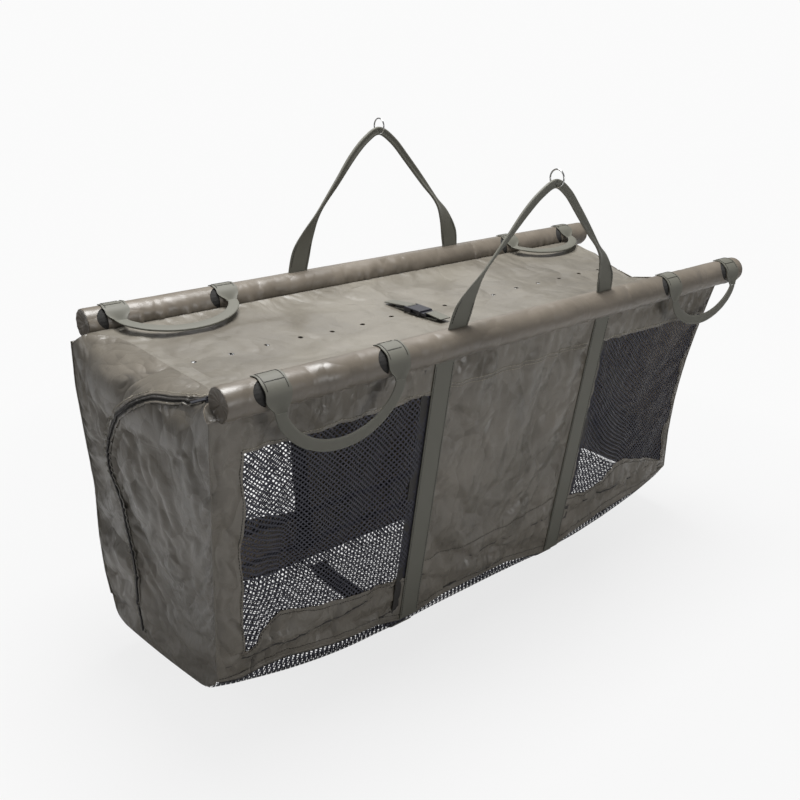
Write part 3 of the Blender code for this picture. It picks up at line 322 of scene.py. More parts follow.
finishes = {
    # The lid is the same cloth as the sides: its paler colours are painted light, standing in for the
    # light from above on the lid
    "lid_cloth": coated_cloth("coated_polyester_lid_painted_lighter", "#605b52", "#6f6a60", 0.42, 0.32, 0.50),
    "side_cloth": coated_cloth("coated_polyester_side", "#59544b", "#686258", 1.0, 0.29, 0.45),
    "sleeve_cloth": coated_cloth("coated_polyester_sleeve", "#5a5349", "#696156", 0.38, 0.34, 0.50),
    "webbing": woven_webbing("polypropylene_webbing", "#59584f", "#a3a297"),
    "mesh": grained("polyester_net_yarn", "#1b1b25", "#2d2d3a", 400.0, 0.0002, Roughness=0.6,
                    Sheen_Weight=0.1),
    "foam": grained("closed_cell_foam", "#1c1b1a", "#2b2a28", 500.0, 0.0006, Roughness=0.95),
    "alloy": grained("drawn_aluminium", "#b3b5b8", "#c5c7ca", 90.0, 0.0001, Metallic=1.0,
                     Roughness=0.35),
    "steel": grained("welded_steel_wire", "#b9b9b8", "#d2d2d0", 300.0, 0.0001, Metallic=1.0,
                     Roughness=0.2),
    "black_plastic": grained("moulded_acetal", "#16161b", "#23232b", 700.0, 0.0001,
                             Roughness=0.33, IOR=1.48),
    "zip": grained("nylon_zip_coil", "#201e1b", "#34302b", 600.0, 0.0001, Roughness=0.5,
                   IOR=1.53),
}
thread_pale = grained("polyester_thread_pale", "#8a8475", "#a39d8e", 900.0, 0.0001, Roughness=0.6)
thread_dark = grained("polyester_thread_dark", "#2a2823", "#3b3933", 900.0, 0.0001, Roughness=0.6)
edge_tape = woven_webbing("polyester_edge_tape", "#1f1c19", "#3a342e")
# Inside of the cloth: duller and uncoated, and its pale colour is partly painted light, standing in for
# the light that falls inside the bag
inner_side_painted_paler = grained("uncoated_cloth_side_painted_paler", "#a0937f", "#b0a38f", 700.0, 0.0002, Roughness=0.8)


# Mesh helpers
def finished(obj, kind, body, replaces=(), smooth=True):
    """Move a piece to the frame, give it its finish and hang it on its body."""
    obj.data.transform(Matrix.Translation(shift))
    obj.data.materials.clear()
    obj.data.materials.append(kind if not isinstance(kind, str) else finishes[kind])
    obj.data.shade_smooth() if smooth else obj.data.shade_flat()
    if smooth:
        obj.data.set_sharp_from_angle(angle=radians(55))
    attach(obj, body)
    if replaces:
        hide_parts(*replaces)
    return obj


def lined(obj, outside):
    """Give the faces that look into the bag the cloth's duller, uncoated side, painted paler to stand in
    for the light inside the bag.
    """
    obj.data.materials.append(inner_side_painted_paler)
    for face in obj.data.polygons:
        if face.normal.dot(outside) < 0:
            face.material_index = 1


def linked(name, mesh):
    obj = bpy.data.objects.new(name, mesh)
    bpy.context.scene.collection.objects.link(obj)
    return obj


def laid(name, points, closed=False, capped=False, outward=None):
    """A sheet or tube through rows of points, with a UV map in metres across and along it."""
    points = np.asarray(points, float)
    rows, columns = points.shape[0] - 1, points.shape[1] - 1
    bm = bmesh.new()
    bmesh.ops.create_grid(bm, x_segments=columns, y_segments=rows, size=1.0, calc_uvs=True)
    for vert, co in zip(bm.verts, points.reshape(-1, 3)):
        vert.co = co
    across = np.linalg.norm(np.diff(points, axis=1), axis=2).mean(axis=0).sum()
    along = np.linalg.norm(np.diff(points, axis=0), axis=2).mean(axis=1).sum()
    for layer in bm.loops.layers.uv.values():
        for face in bm.faces:
            for loop in face.loops:
                loop[layer].uv = (loop[layer].uv.x * across, loop[layer].uv.y * along)
    if closed:
        bmesh.ops.remove_doubles(bm, verts=bm.verts, dist=layer_gap / 30)
    if capped:
        bmesh.ops.holes_fill(bm, edges=[e for e in bm.edges if e.is_boundary], sides=0)
    if closed or capped:
        bmesh.ops.recalc_face_normals(bm, faces=bm.faces)
    mesh = bpy.data.meshes.new(name)
    bm.to_mesh(mesh)
    bm.free()
    return linked(name, mesh)


def settled(obj):
    """Turn an object's modifiers into its plain mesh."""
    bpy.context.view_layer.update()
    graph = bpy.context.evaluated_depsgraph_get()
    mesh = bpy.data.meshes.new_from_object(obj.evaluated_get(graph), depsgraph=graph)
    obj.modifiers.clear()
    obj.data = mesh
    return obj


def thicken(obj, thickness, offset=0.0):
    solid = obj.modifiers.new("thickness", "SOLIDIFY")
    solid.thickness = thickness
    solid.offset = offset
    return settled(obj)


def keep_faces(obj, wanted):
    """Delete the faces whose centre isn't wanted."""
    bm = bmesh.new()
    bm.from_mesh(obj.data)
    doomed = [f for f in bm.faces if not wanted(f.calc_center_median())]
    bmesh.ops.delete(bm, geom=doomed, context="FACES")
    bm.to_mesh(obj.data)
    bm.free()
    return obj


def smooth_points(points, between):
    """Points on a Catmull-Rom curve through rows of numbers."""
    rows = [Vector(p) for p in points]
    result = []
    for i in range(len(rows) - 1):
        p0, p1, p2 = rows[max(i - 1, 0)], rows[i], rows[i + 1]
        p3 = rows[min(i + 2, len(rows) - 1)]
        for k in range(between):
            t = k / between
            result.append(0.5 * (2 * p1 + (p2 - p0) * t + (2 * p0 - 5 * p1 + 4 * p2 - p3) * t ** 2
                                 + (3 * p1 - p0 - 3 * p2 + p3) * t ** 3))
    result.append(rows[-1])
    return result


def rough(place, scale, seed):
    """Smooth noise from -1 to 1 at a place, with lumps about 1 / scale across."""
    spot = Vector(place) * scale + Vector((seed * 7.3, seed * 3.1, seed * 5.7))
    return noise.noise(spot) + 0.5 * noise.noise(spot * 2.1)


def normals_of(points):
    """Unit normals of a sheet of points."""
    along = np.gradient(points, axis=0)
    across = np.gradient(points, axis=1)
    normal = np.cross(across, along)
    return normal / np.maximum(np.linalg.norm(normal, axis=2, keepdims=True), 1e-12)


def dented(points, scale, height, seed, fade, stretch=(1.0, 1.0, 1.0)):
    """Push a sheet in and out along its normals by smooth noise."""
    push = np.array([[rough([p[i] * stretch[i] for i in range(3)], scale, seed) for p in row]
                     for row in points])
    return points + normals_of(points) * (push * fade)[:, :, None] * height


def creased(points, cell, height, seed, fade, stretch=(1.0, 1.0, 1.0)):
    """Flat facets with sharp folds between them, as stiff coated cloth crumples."""
    push = np.zeros(points.shape[:2])
    away = Vector((seed * 3.7, seed * 5.1, seed * 1.9))
    for r, row in enumerate(points):
        for c, p in enumerate(row):
            spot = Vector((p[0] * stretch[0], p[1] * stretch[1], p[2] * stretch[2])) / cell + away
            spot += noise.noise_vector(spot * 0.6) * 0.55
            near = noise.voronoi(spot, distance_metric="MANHATTAN")[0]
            push[r, c] = near[0] - 0.55
    return points + normals_of(points) * (push * fade)[:, :, None] * height


def edge_fade(shape, reach):
    """1 over a sheet's middle, falling to 0 over its outer rows and columns."""
    rows = np.minimum(np.arange(shape[0]), np.arange(shape[0])[::-1])[:, None]
    columns = np.minimum(np.arange(shape[1]), np.arange(shape[1])[::-1])[None, :]
    inner = np.clip(np.minimum(rows, columns) / reach, 0.0, 1.0)
    return inner * inner * (3 - 2 * inner)


def sample(points, u, v):
    """Place and unit normal on a sheet of points, at u across it and v along it, 0 to 1."""
    rows, columns = points.shape[0] - 1, points.shape[1] - 1
    x, y = min(max(u, 0.0), 1.0) * columns, min(max(v, 0.0), 1.0) * rows
    c, r = min(int(x), columns - 1), min(int(y), rows - 1)
    a, b = x - c, y - r
    low = points[r, c] * (1 - a) + points[r, c + 1] * a
    high = points[r + 1, c] * (1 - a) + points[r + 1, c + 1] * a
    left = points[r, c] * (1 - b) + points[r + 1, c] * b
    right = points[r, c + 1] * (1 - b) + points[r + 1, c + 1] * b
    normal = Vector(np.cross(right - left, high - low)).normalized()
    return Vector(low * (1 - b) + high * b), normal


def crumple(cloths):
    """Let each cloth, cut a little too large, buckle into creases between its held edges."""
    objects = []
    for cloth in cloths:
        obj = laid("loose_" + cloth["name"], cloth["points"])
        group = obj.vertex_groups.new(name="hold")
        held = cloth["hold"].reshape(-1)
        for value in np.unique(held):
            if value > 0:
                group.add(np.flatnonzero(held == value).tolist(), float(value), "REPLACE")
        settings = obj.modifiers.new("cloth", "CLOTH").settings
        settings.quality = 5
        settings.mass = 0.12
        settings.tension_stiffness = 25.0
        settings.compression_stiffness = 25.0
        settings.shear_stiffness = 12.0
        settings.bending_stiffness = cloth["bend"]
        settings.shrink_min = -cloth["grow"]
        settings.vertex_group_mass = "hold"
        settings.effector_weights.gravity = cloth["gravity"]
        settings.air_damping = 3.0
        objects.append(obj)
    for step in range(1, settle_frames + 1):
        bpy.context.scene.frame_set(step)
    graph = bpy.context.evaluated_depsgraph_get()
    for cloth, obj in zip(cloths, objects):
        mesh = obj.evaluated_get(graph).data
        found = np.empty(len(mesh.vertices) * 3)
        mesh.vertices.foreach_get("co", found)
        moved = found.reshape(cloth["points"].shape) - cloth["points"]
        size = np.maximum(np.linalg.norm(moved, axis=2, keepdims=True), 1e-9)
        cap = cloth["cap"]
        cloth["points"] = cloth["points"] + moved / size * cap * np.tanh(size / cap)
        bpy.data.objects.remove(obj, do_unlink=True)
    bpy.context.scene.frame_set(1)


def lattice(name, width, length, cell, strand, surface):
    """A net of diamond cells: a turned grid, each face opened inside its strands, laid on a surface."""
    bm = bmesh.new()
    side = (width + length) / sqrt(2)
    count = ceil(side / cell)
    bmesh.ops.create_grid(bm, x_segments=count, y_segments=count, size=side / 2)
    bmesh.ops.rotate(bm, verts=bm.verts, cent=(0, 0, 0), matrix=Matrix.Rotation(pi / 4, 3, "Z"))
    outside = []
    for face in bm.faces:
        middle = face.calc_center_median()
        if abs(middle.x) > width / 2 or abs(middle.y) > length / 2:
            outside.append(face)
    bmesh.ops.delete(bm, geom=outside, context="FACES")
    cells = list(bm.faces)
    bmesh.ops.inset_individual(bm, faces=cells, thickness=strand / 2, use_even_offset=True)
    bmesh.ops.delete(bm, geom=cells, context="FACES")
    for vert in bm.verts:
        vert.co = surface(vert.co.x / width + 0.5, vert.co.y / length + 0.5)
    mesh = bpy.data.meshes.new(name)
    bm.to_mesh(mesh)
    bm.free()
    return linked(name, mesh)


def stitched(name, body, routes, thread, pitch=stitch_pitch):
    """Runs of stitches: each a small bar of thread laid on its cloth."""
    bm = bmesh.new()
    for route in routes:
        spots = [Vector(place) for place, normal in route]
        reach = [0.0]
        for one, two in zip(spots, spots[1:]):
            reach.append(reach[-1] + (two - one).length)
        for k in range(int(reach[-1] / pitch)):
            at = (k + 0.5) * pitch
            i = max(j for j in range(len(reach)) if reach[j] <= at)
            i = min(i, len(spots) - 2)
            share = (at - reach[i]) / max(reach[i + 1] - reach[i], 1e-9)
            normal = route[i][1]
            along = (spots[i + 1] - spots[i]).normalized()
            across = along.cross(normal).normalized()
            up = across.cross(along)
            middle = spots[i].lerp(spots[i + 1], share) + up * stitch_radius * 0.6
            turn = Matrix((along, across, up)).transposed().to_4x4()
            size = Matrix.Diagonal((stitch_length, stitch_radius * 2, stitch_radius * 2, 1.0))
            bmesh.ops.create_cube(bm, size=1.0, matrix=Matrix.Translation(middle) @ turn @ size)
    mesh = bpy.data.meshes.new(name)
    bm.to_mesh(mesh)
    bm.free()
    return finished(linked(name, mesh), thread, body, smooth=False)


def oval(centre, across, through, half_width, half_thickness, groove, power=0.5, sides=20):
    """One section of webbing folded to a flat tube, with the line where its edges meet."""
    ring = []
    for k in range(sides + 1):
        angle = 2 * pi * (k + 0.5) / sides
        a = abs(cos(angle)) ** power * (1 if cos(angle) > 0 else -1)
        b = abs(sin(angle)) ** power * (1 if sin(angle) > 0 else -1)
        if abs(a) < 0.45 and b > 0:
            b -= groove
        ring.append(centre + across * a * half_width + through * b * half_thickness)
    return ring


def strip(centre, across, through, width, cup, columns=8):
    """One open section of flat webbing, cupped a little across its width."""
    row = []
    for k in range(columns + 1):
        a = 2 * k / columns - 1
        row.append(centre + across * a * width / 2 + through * cup * (1 - a * a))
    return row


def gathered(piece):
    """Give a piece its own copy of its mesh."""
    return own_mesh(piece)


# Shape of the bag
def lift_share(x):
    reach = abs(x - bag_shift) / half_bag
    return max(0.0, (reach - foot_length_share) / (1 - foot_length_share)) ** lift_power


def belly_z(x):
    return webbing_thickness + layer_gap + net_thickness / 2 + base_end_lift * lift_share(x)


def hem_z(x):
    return belly_z(x) + base_side_lift + base_corner_lift * lift_share(x)


def wall_y(z):
    return half_spacing - (bar_height - z) * tan(wall_slope)


def level_of(z):
    foot = hem_z(left_edge)
    return min(max((z - foot) / (bar_height - sleeve_clear - foot), 0.0), 1.0)


def edge_shift(side, place, level):
    """How far an end stands out from its straight line: the left one swells, the right caves in."""
    if side < 0:
        rear = np.interp(level, end_levels, left_rear_bulges)
        front = np.interp(level, end_levels, left_front_bulges)
        swell = left_end_swell + left_top_swell * level ** 3
        return -float(rear * (1 + place) / 2 + front * (1 - place) / 2 + swell * (1 - place ** 2))
    top = right_top_cave * level ** 4 * float(np.interp((1 - place) / 2, top_cave_places, top_cave_shares))
    return -sin(pi * level) * (right_end_cave + right_end_draw * (1 - place ** 2)) - top


def rim_z(x, side):
    """Height of a wall's hem, which is drawn up along the front."""
    if side > 0:
        return hem_z(x)
    return hem_z(x) + float(np.interp(x, [p[0] for p in hem_rises], [p[1] for p in hem_rises]))


def lid_z(y):
    return bar_height - lid_edge_drop - lid_sag * (1 - (y / lid_clear_y) ** 2)


def wall_matrix(side, offset):
    up = Vector((0.0, side * sin(wall_slope), cos(wall_slope)))
    out = Vector((0.0, side * cos(wall_slope), -sin(wall_slope)))
    origin = Vector((0.0, side * half_spacing, bar_height)) + out * offset
    matrix = Matrix((Vector((1.0, 0.0, 0.0)), up, out)).transposed().to_4x4()
    return Matrix.Translation(origin) @ matrix


def wall_depth(z):
    return -(bar_height - z) / cos(wall_slope)


def drawn_x(side, x, depth):
    end = -1 if x < bag_shift else 1
    reach = abs(x - bag_shift) / half_bag
    level = level_of(bar_height + depth * cos(wall_slope))
    return x + edge_shift(end, side if end < 0 else 1, level) * reach ** edge_fade_power


def runs(marks, step):
    """Places from mark to mark, evenly spaced about a step apart, and where each mark came."""
    places, found = [], []
    for one, two in zip(marks, marks[1:]):
        found.append(len(places))
        count = max(1, round(abs(two - one) / step))
        places += [one + (two - one) * k / count for k in range(count)]
    found.append(len(places))
    return places + [marks[-1]], found


# Long walls: top band, window rows and foot band, in columns that follow the windows
wall_step = 0.0050
wall_marks = [left_edge, *window_edges[0], *window_edges[1], right_edge]
wall_columns, wall_column_marks = runs(wall_marks, wall_step)
band_rows, window_rows, foot_rows = 12, 66, 14
total_rows = band_rows + window_rows + foot_rows
foot_xs = [p[0] for p in window_foot]
foot_depths = [p[1] for p in window_foot]


def wall_row_depth(side, x, row):
    """Depth of a grid row at a column, from the sleeve down to the hem."""
    top, hem = -sleeve_clear + 0.002, wall_depth(rim_z(x, side))
    sill = float(np.interp(x, foot_xs, foot_depths))
    sill = max(sill, hem + 0.012)
    if row <= band_rows:
        return top + (window_top - top) * row / band_rows
    if row <= band_rows + window_rows:
        return window_top + (sill - window_top) * (row - band_rows) / window_rows
    return sill + (hem - sill) * (row - band_rows - window_rows) / foot_rows


def wall_cloth(side):
    matrix = wall_matrix(side, 0.0)
    points = np.zeros((total_rows + 1, len(wall_columns), 3))
    hold = np.zeros(points.shape[:2])
    for r in range(total_rows + 1):
        for c, x in enumerate(wall_columns):
            depth = wall_row_depth(side, x, r)
            points[r, c] = matrix @ Vector((drawn_x(side, x, depth), depth, 0.0))
            webbed = any(abs(x - w) < webbing_width * 0.55 for w in webbing_places)
            if r < 2 or r > total_rows - 2 or c < 1 or c > len(wall_columns) - 2 or webbed:
                hold[r, c] = 1.0
    fade = edge_fade(points.shape[:2], 4) * (1 - hold)
    points = dented(points, 9.0, 0.0030, 2 + side, fade)
    points = creased(points, 0.060, 0.0060, 4 + side, fade, (1.0, 1.0, 0.8))
    points = creased(points, 0.026, 0.0024, 7 + side, fade, (1.2, 1.0, 0.8))
    return {"name": "wall" + str(side), "points": points, "hold": hold, "grow": 0.022,
            "cap": 0.0085, "bend": 0.02, "gravity": 0.05}


# Ends: rows from the foot to the shoulder, then over the shoulder to the lid
end_columns, end_rows, shoulder_rows = 72, 92, 22


def base_z(x, place):
    beyond = max(0.0, (abs(place) - foot_width_share) / (1 - foot_width_share))
    rise = rim_z(x, place) + base_rim_lap - belly_z(x)
    return belly_z(x) + rise * (1 - sqrt(max(0.0, 1 - beyond ** 2)))


def softened(pair, place):
    """A size that grows from its value at the bars to its value between them."""
    return pair[0] + pair[1] * (1 - abs(place) ** 5)


def lid_end_x(side, place):
    """Where the lid's cloth begins and ends, beyond the rounded shoulders."""
    edge = left_edge if side < 0 else right_edge
    cave = 0.0 if side < 0 else edge_shift(side, place, 1.0)
    return edge + cave - side * softened(shoulder_runs[side], place)


def end_point(side, place, height):
    """A point on an end's face (height 0 to 1) or on its shoulder (1 to 2)."""
    edge = left_edge if side < 0 else right_edge
    foot = base_z(edge, place) + net_thickness + seam_gap
    z = foot + (bar_height - softened(shoulder_drops[side], place) - foot) * min(height, 1.0)
    face = Vector((edge + edge_shift(side, place, level_of(z)),
                   place * (wall_y(z) - cloth_thickness - seam_gap), z))
    y, t = place * lid_clear_y, max(height - 1.0, 0.0)
    corner = Vector((edge + edge_shift(side, place, 1.0), y, lid_z(y) - 0.002))
    finish = Vector((lid_end_x(side, place), y, lid_z(y)))
    return face * (1 - t) ** 2 + corner * 2 * t * (1 - t) + finish * t * t


def end_cloth(side):
    rows = end_rows + shoulder_rows
    points = np.zeros((rows + 1, end_columns + 1, 3))
    hold = np.zeros(points.shape[:2])
    for r in range(rows + 1):
        height = r / end_rows if r <= end_rows else 1 + (r - end_rows) / shoulder_rows
        for c in range(end_columns + 1):
            points[r, c] = end_point(side, 2 * c / end_columns - 1, height)
            if r < 1 or r > rows - 2 or c < 1 or c > end_columns - 1:
                hold[r, c] = 1.0
            elif min(hypot(2 * c / end_columns - 1 - p, (height - h) * 1.4)
                     for p, h in end_zip_shares) < 0.075:
                hold[r, c] = 0.85
    fade = edge_fade(points.shape[:2], 7) * (1 - 0.9 * (hold == 0.85))
    fade[end_rows - 4:] *= 0.2
    hold[end_rows - 2:] = 1.0
    points = creased(points, 0.090, 0.0090, 11 + side, fade, (1.0, 1.3, 0.65))
    points = creased(points, 0.036, 0.0036, 14 + side, fade, (1.0, 1.2, 0.8))
    return {"name": "end" + str(side), "points": points, "hold": hold, "grow": 0.030,
            "cap": 0.008, "bend": 0.01, "gravity": 0.10}


# Lid: one cloth from the front bar's zip to the rear bar, later cut at its fold line
lid_columns = 250
lid_flap_rows, lid_rear_rows = 50, 26


def lid_cloth():
    rows = lid_flap_rows + lid_rear_rows
    points = np.zeros((rows + 1, lid_columns + 1, 3))
    hold = np.zeros(points.shape[:2])
    for r in range(rows + 1):
        if r <= lid_flap_rows:
            y = lid_front_y + (lid_fold_y - lid_front_y) * r / lid_flap_rows
        else:
            y = lid_fold_y + (lid_clear_y - lid_fold_y) * (r - lid_flap_rows) / lid_rear_rows
        start, end = lid_end_x(-1, y / lid_clear_y), lid_end_x(1, y / lid_clear_y)
        for c in range(lid_columns + 1):
            x = start + (end - start) * c / lid_columns
            points[r, c] = (x, y, lid_z(y))
            if r < 1 or r > rows - 1 or c < 1 or c > lid_columns - 1:
                hold[r, c] = 1.0
            if abs(x - buckle_x) < 0.020 and abs(y - 0.02) < 0.12:
                hold[r, c] = 0.9
    fade = edge_fade(points.shape[:2], 5) * (1 - hold)
    points = dented(points, 8.0, 0.0030, 21, fade, (0.8, 1.3, 1.0))
    points = creased(points, 0.075, 0.0030, 22, fade, (0.7, 1.4, 1.0))
    return {"name": "lid", "points": points, "hold": hold, "grow": 0.010, "cap": 0.0045,
            "bend": 0.05, "gravity": 0.02}


buckle_x = -0.104
cloths = {"front_wall": wall_cloth(-1), "rear_wall": wall_cloth(1), "left_end": end_cloth(-1),
          "right_end": end_cloth(1), "lid": lid_cloth()}
crumple(list(cloths.values()))


# Walls: the cloth with its windows opened, the nets, the webbing and the stitching
def wall_share(x):
    """Share across the wall's columns at a place along it."""
    return float(np.interp(x, wall_columns, range(len(wall_columns)))) / (len(wall_columns) - 1)


def tape_share(side, x, depth):
    """Share down the wall's rows at which a depth is reached."""
    depths = [wall_row_depth(side, x, r) for r in range(total_rows + 1)]
    return float(np.interp(-depth, [-d for d in depths], range(total_rows + 1))) / total_rows


def outward(side, route, lift):
    """Places on a wall's sheet, each lifted off it on the outside."""
    facing = Vector((0.0, side, 0.0))
    lifted = []
    for place, normal in route:
        normal = normal if normal.dot(facing) > 0 else -normal
        lifted.append((place + normal * lift, normal))
    return lifted


def build_wall(side, word):
    points = cloths[word + "_wall"]["points"]
    body = word + "_wall"
    panel = laid(word + "_wall_cloth", points)
    bm = bmesh.new()
    bm.from_mesh(panel.data)
    bm.faces.ensure_lookup_table()
    columns = len(wall_columns) - 1
    doomed = []
    for r in range(band_rows, band_rows + window_rows):
        for one, two in ((1, 2), (3, 4)):
            for c in range(wall_column_marks[one], wall_column_marks[two]):
                doomed.append(bm.faces[r * columns + c])
    bmesh.ops.delete(bm, geom=doomed, context="FACES")
    bm.to_mesh(panel.data)
    bm.free()
    thicken(panel, cloth_thickness)
    finished(panel, "side_cloth", body, [word + "_wall_panel"])
    lined(panel, Vector((0.0, side, 0.0)))

    for (low, high), end_word in zip(window_edges, ("left", "right")):
        u0, u1 = wall_share(low - net_lap), wall_share(high + net_lap)
        v0 = (band_rows - 2) / total_rows
        v1 = (band_rows + window_rows + 2) / total_rows
        inside = -(cloth_thickness / 2 + layer_gap)

        def surface(s, t):
            spot = sample(points, u0 + (u1 - u0) * s, v0 + (v1 - v0) * (1 - t))
            return outward(side, [spot], inside)[0][0]

        width, length = high - low + 2 * net_lap, 0.36
        piece = lattice(word + "_window_net_" + end_word, width, length, net_cell, net_strand, surface)
        finished(piece, "mesh", body, [word + "_net_" + end_word])

    for x, end_word in zip(webbing_places, ("left", "right")):
        rows = []
        lift = cloth_thickness / 2 + layer_gap + webbing_thickness / 2
        for k in range(61):
            v = k / 60
            middle, normal = outward(side, [sample(points, wall_share(x), v)], lift)[0]
            rows.append(strip(middle, Vector((1.0, 0.0, 0.0)), normal, webbing_width, 0.0003))
        piece = thicken(laid(word + "_wall_tape_" + end_word, rows), webbing_thickness)
        finished(piece, "webbing", body, [word + "_wall_webbing_" + end_word])

    pale, dark = [], []
    for drop in (0.0, 0.006):
        route = [sample(points, wall_share(x), (band_rows - 2 + drop / 0.0047) / total_rows)
                 for x in np.linspace(-0.183, 0.157, 120)]
        pale.append(outward(side, route, cloth_thickness / 2))
    foot_v = (band_rows + window_rows - 4) / total_rows
    route = [sample(points, wall_share(x), foot_v) for x in np.linspace(-0.183, 0.157, 120)]
    dark.append(outward(side, route, cloth_thickness / 2))
    for low, high in window_edges:
        margin = 1.1 / total_rows
        top, foot = band_rows / total_rows - margin, (band_rows + window_rows) / total_rows + margin
        xs = np.linspace(low - 0.003, high + 0.003, 90)
        pale.append(outward(side, [sample(points, wall_share(x), top) for x in xs], cloth_thickness / 2))
        dark.append(outward(side, [sample(points, wall_share(x), foot) for x in xs], cloth_thickness / 2))
        for x in (low - 0.004, high + 0.004):
            vs = np.linspace(top, foot, 90)
            dark.append(outward(side, [sample(points, wall_share(x), v) for v in vs],
                                cloth_thickness / 2))
    hem = [sample(points, wall_share(x), 1 - 1.6 / total_rows) for x in wall_columns]
    dark.append(outward(side, hem, cloth_thickness / 2))
    for x in webbing_places:
        for edge in (-1, 1):
            lift = cloth_thickness / 2 + layer_gap + webbing_thickness
            route = [sample(points, wall_share(x + edge * (webbing_width / 2 - 0.0025)), v)
                     for v in np.linspace(0.02, 0.99, 110)]
            dark.append(outward(side, route, lift))
    stitched(word + "_wall_seams_pale", body, pale, thread_pale)
    stitched(word + "_wall_seams_dark", body, dark, thread_dark)

    # Piped seams at both ends of the wall, and a rolled hem along its foot
    for u, end_word in ((0.0, "left"), (1.0, "right")):
        rows = []
        for k in range(91):
            middle, normal = outward(side, [sample(points, u, k / 90)], 0.0)[0]
            out = Vector((-1.0 if u == 0 else 1.0, 0.0, 0.0))
            rows.append(oval(middle + out * 0.0004, normal, out, 0.0017, 0.0017, 0.0, 1.0, 10))
        piece = laid(word + "_wall_piping_" + end_word, rows, closed=True, capped=True)
        finished(piece, "side_cloth", body)
    rows = []
    for x in wall_columns:
        middle, normal = outward(side, [sample(points, wall_share(x), 1.0)], 0.0)[0]
        rows.append(oval(middle, normal, Vector((0.0, 0.0, 1.0)), 0.0013, 0.0026, 0.0, 0.8, 10))
    finished(laid(word + "_wall_hem", rows, closed=True, capped=True), "side_cloth", body)

    # Edge tapes inside the bag: along both seams under the windows, and beside each webbing
    inside = -(cloth_thickness / 2 + layer_gap * 2 + inner_tape / 2)
    for number, depth in enumerate(inner_seam_depths, start=1):
        rows = []
        for x in wall_columns[1:-1]:
            v = tape_share(side, x, depth)
            middle, normal = outward(side, [sample(points, wall_share(x), v)], inside)[0]
            rows.append(strip(middle, Vector((0.0, 0.0, 1.0)), normal, inner_tape_width, 0.0, 2))
        piece = thicken(laid(word + "_inner_tape_" + str(number), rows), inner_tape)
        finished(piece, edge_tape, body)
    for x, end_word in zip((webbing_places[0] - 0.020, webbing_places[1] + 0.020), ("left", "right")):
        rows = []
        for v in np.linspace(0.03, 0.97, 61):
            middle, normal = outward(side, [sample(points, wall_share(x), v)], inside - layer_gap * 3)[0]
            rows.append(strip(middle, Vector((1.0, 0.0, 0.0)), normal, 0.034, 0.0, 2))
        finished(thicken(laid(word + "_inner_band_" + end_word, rows), inner_tape), edge_tape, body)


for way, word in ((-1, "front"), (1, "rear")):
    build_wall(way, word)


# Base net and the webbing that passes under it
def base_spot(x, place):
    inner = wall_y(rim_z(x, place)) - cloth_thickness / 2 - seam_gap - net_thickness
    ripple = 0.0012 * rough((x, place * 0.15, 0.0), 16.0, 31) * (1 - place ** 2)
    reach = max(0.0, (bag_shift - x) / half_bag)
    across = edge_shift(-1, place, 0.0) * reach ** edge_fade_power
    return Vector((x + across, place * inner, base_z(x, place) + max(ripple, -0.0006)))


def base_surface(s, t):
    x = bag_shift + (2 * min(max(s, 0.0), 1.0) - 1) * (half_bag - cloth_thickness)
    return base_spot(x, 2 * min(max(t, 0.0), 1.0) - 1)


base = lattice("base_mesh", bag_length, 0.272, base_net_cell, net_strand * 1.1, base_surface)
finished(base, "mesh", "root", ["base_net"])
gathered(base)
for x, end_word in zip(webbing_places, ("left", "right")):
    rows = []
    for k in range(49):
        place = -0.93 + 1.86 * k / 48
        inner = wall_y(rim_z(x, place)) - cloth_thickness - seam_gap - net_thickness
        z = base_z(x, place) - net_thickness / 2 - layer_gap - webbing_thickness / 2
        rows.append(strip(Vector((x, place * inner, z)), Vector((1.0, 0.0, 0.0)),
                          Vector((0.0, 0.0, 1.0)), webbing_width, 0.0))
    piece = thicken(laid("base_tape_" + end_word, rows), webbing_thickness)
    finished(piece, "webbing", "root", ["base_webbing_" + end_word])
    gathered(piece)


# Ends: crumpled cloth, the zip's coil between two welts, and a stitch line above it
def end_route(points, shares, lift, side):
    """Places on an end's sheet along a route, lifted off it on the outside, and the way out."""
    route = []
    for place, height in shares:
        row = height * end_rows if height <= 1 else end_rows + (height - 1) * shoulder_rows
        v = row / (end_rows + shoulder_rows)
        spot, normal = sample(points, (place + 1) / 2, v)
        normal = normal if normal.x * side > 0 else -normal
        route.append((spot + normal * lift, normal))
    return route


def coil_rows(route, half_width, half_height):
    """Ridged sections along a route: each turn of the coil stands a little proud."""
    spots = [spot for spot, normal in route]
    rows = []
    for i, (spot, normal) in enumerate(route):
        ahead = spots[min(i + 1, len(spots) - 1)] - spots[max(i - 1, 0)]
        across = ahead.cross(normal).normalized()
        ridge = 1.0 if i % 2 else 0.78
        rows.append(oval(spot, across, normal, half_width * ridge, half_height * ridge, 0.0, 0.8, 8))
    return rows


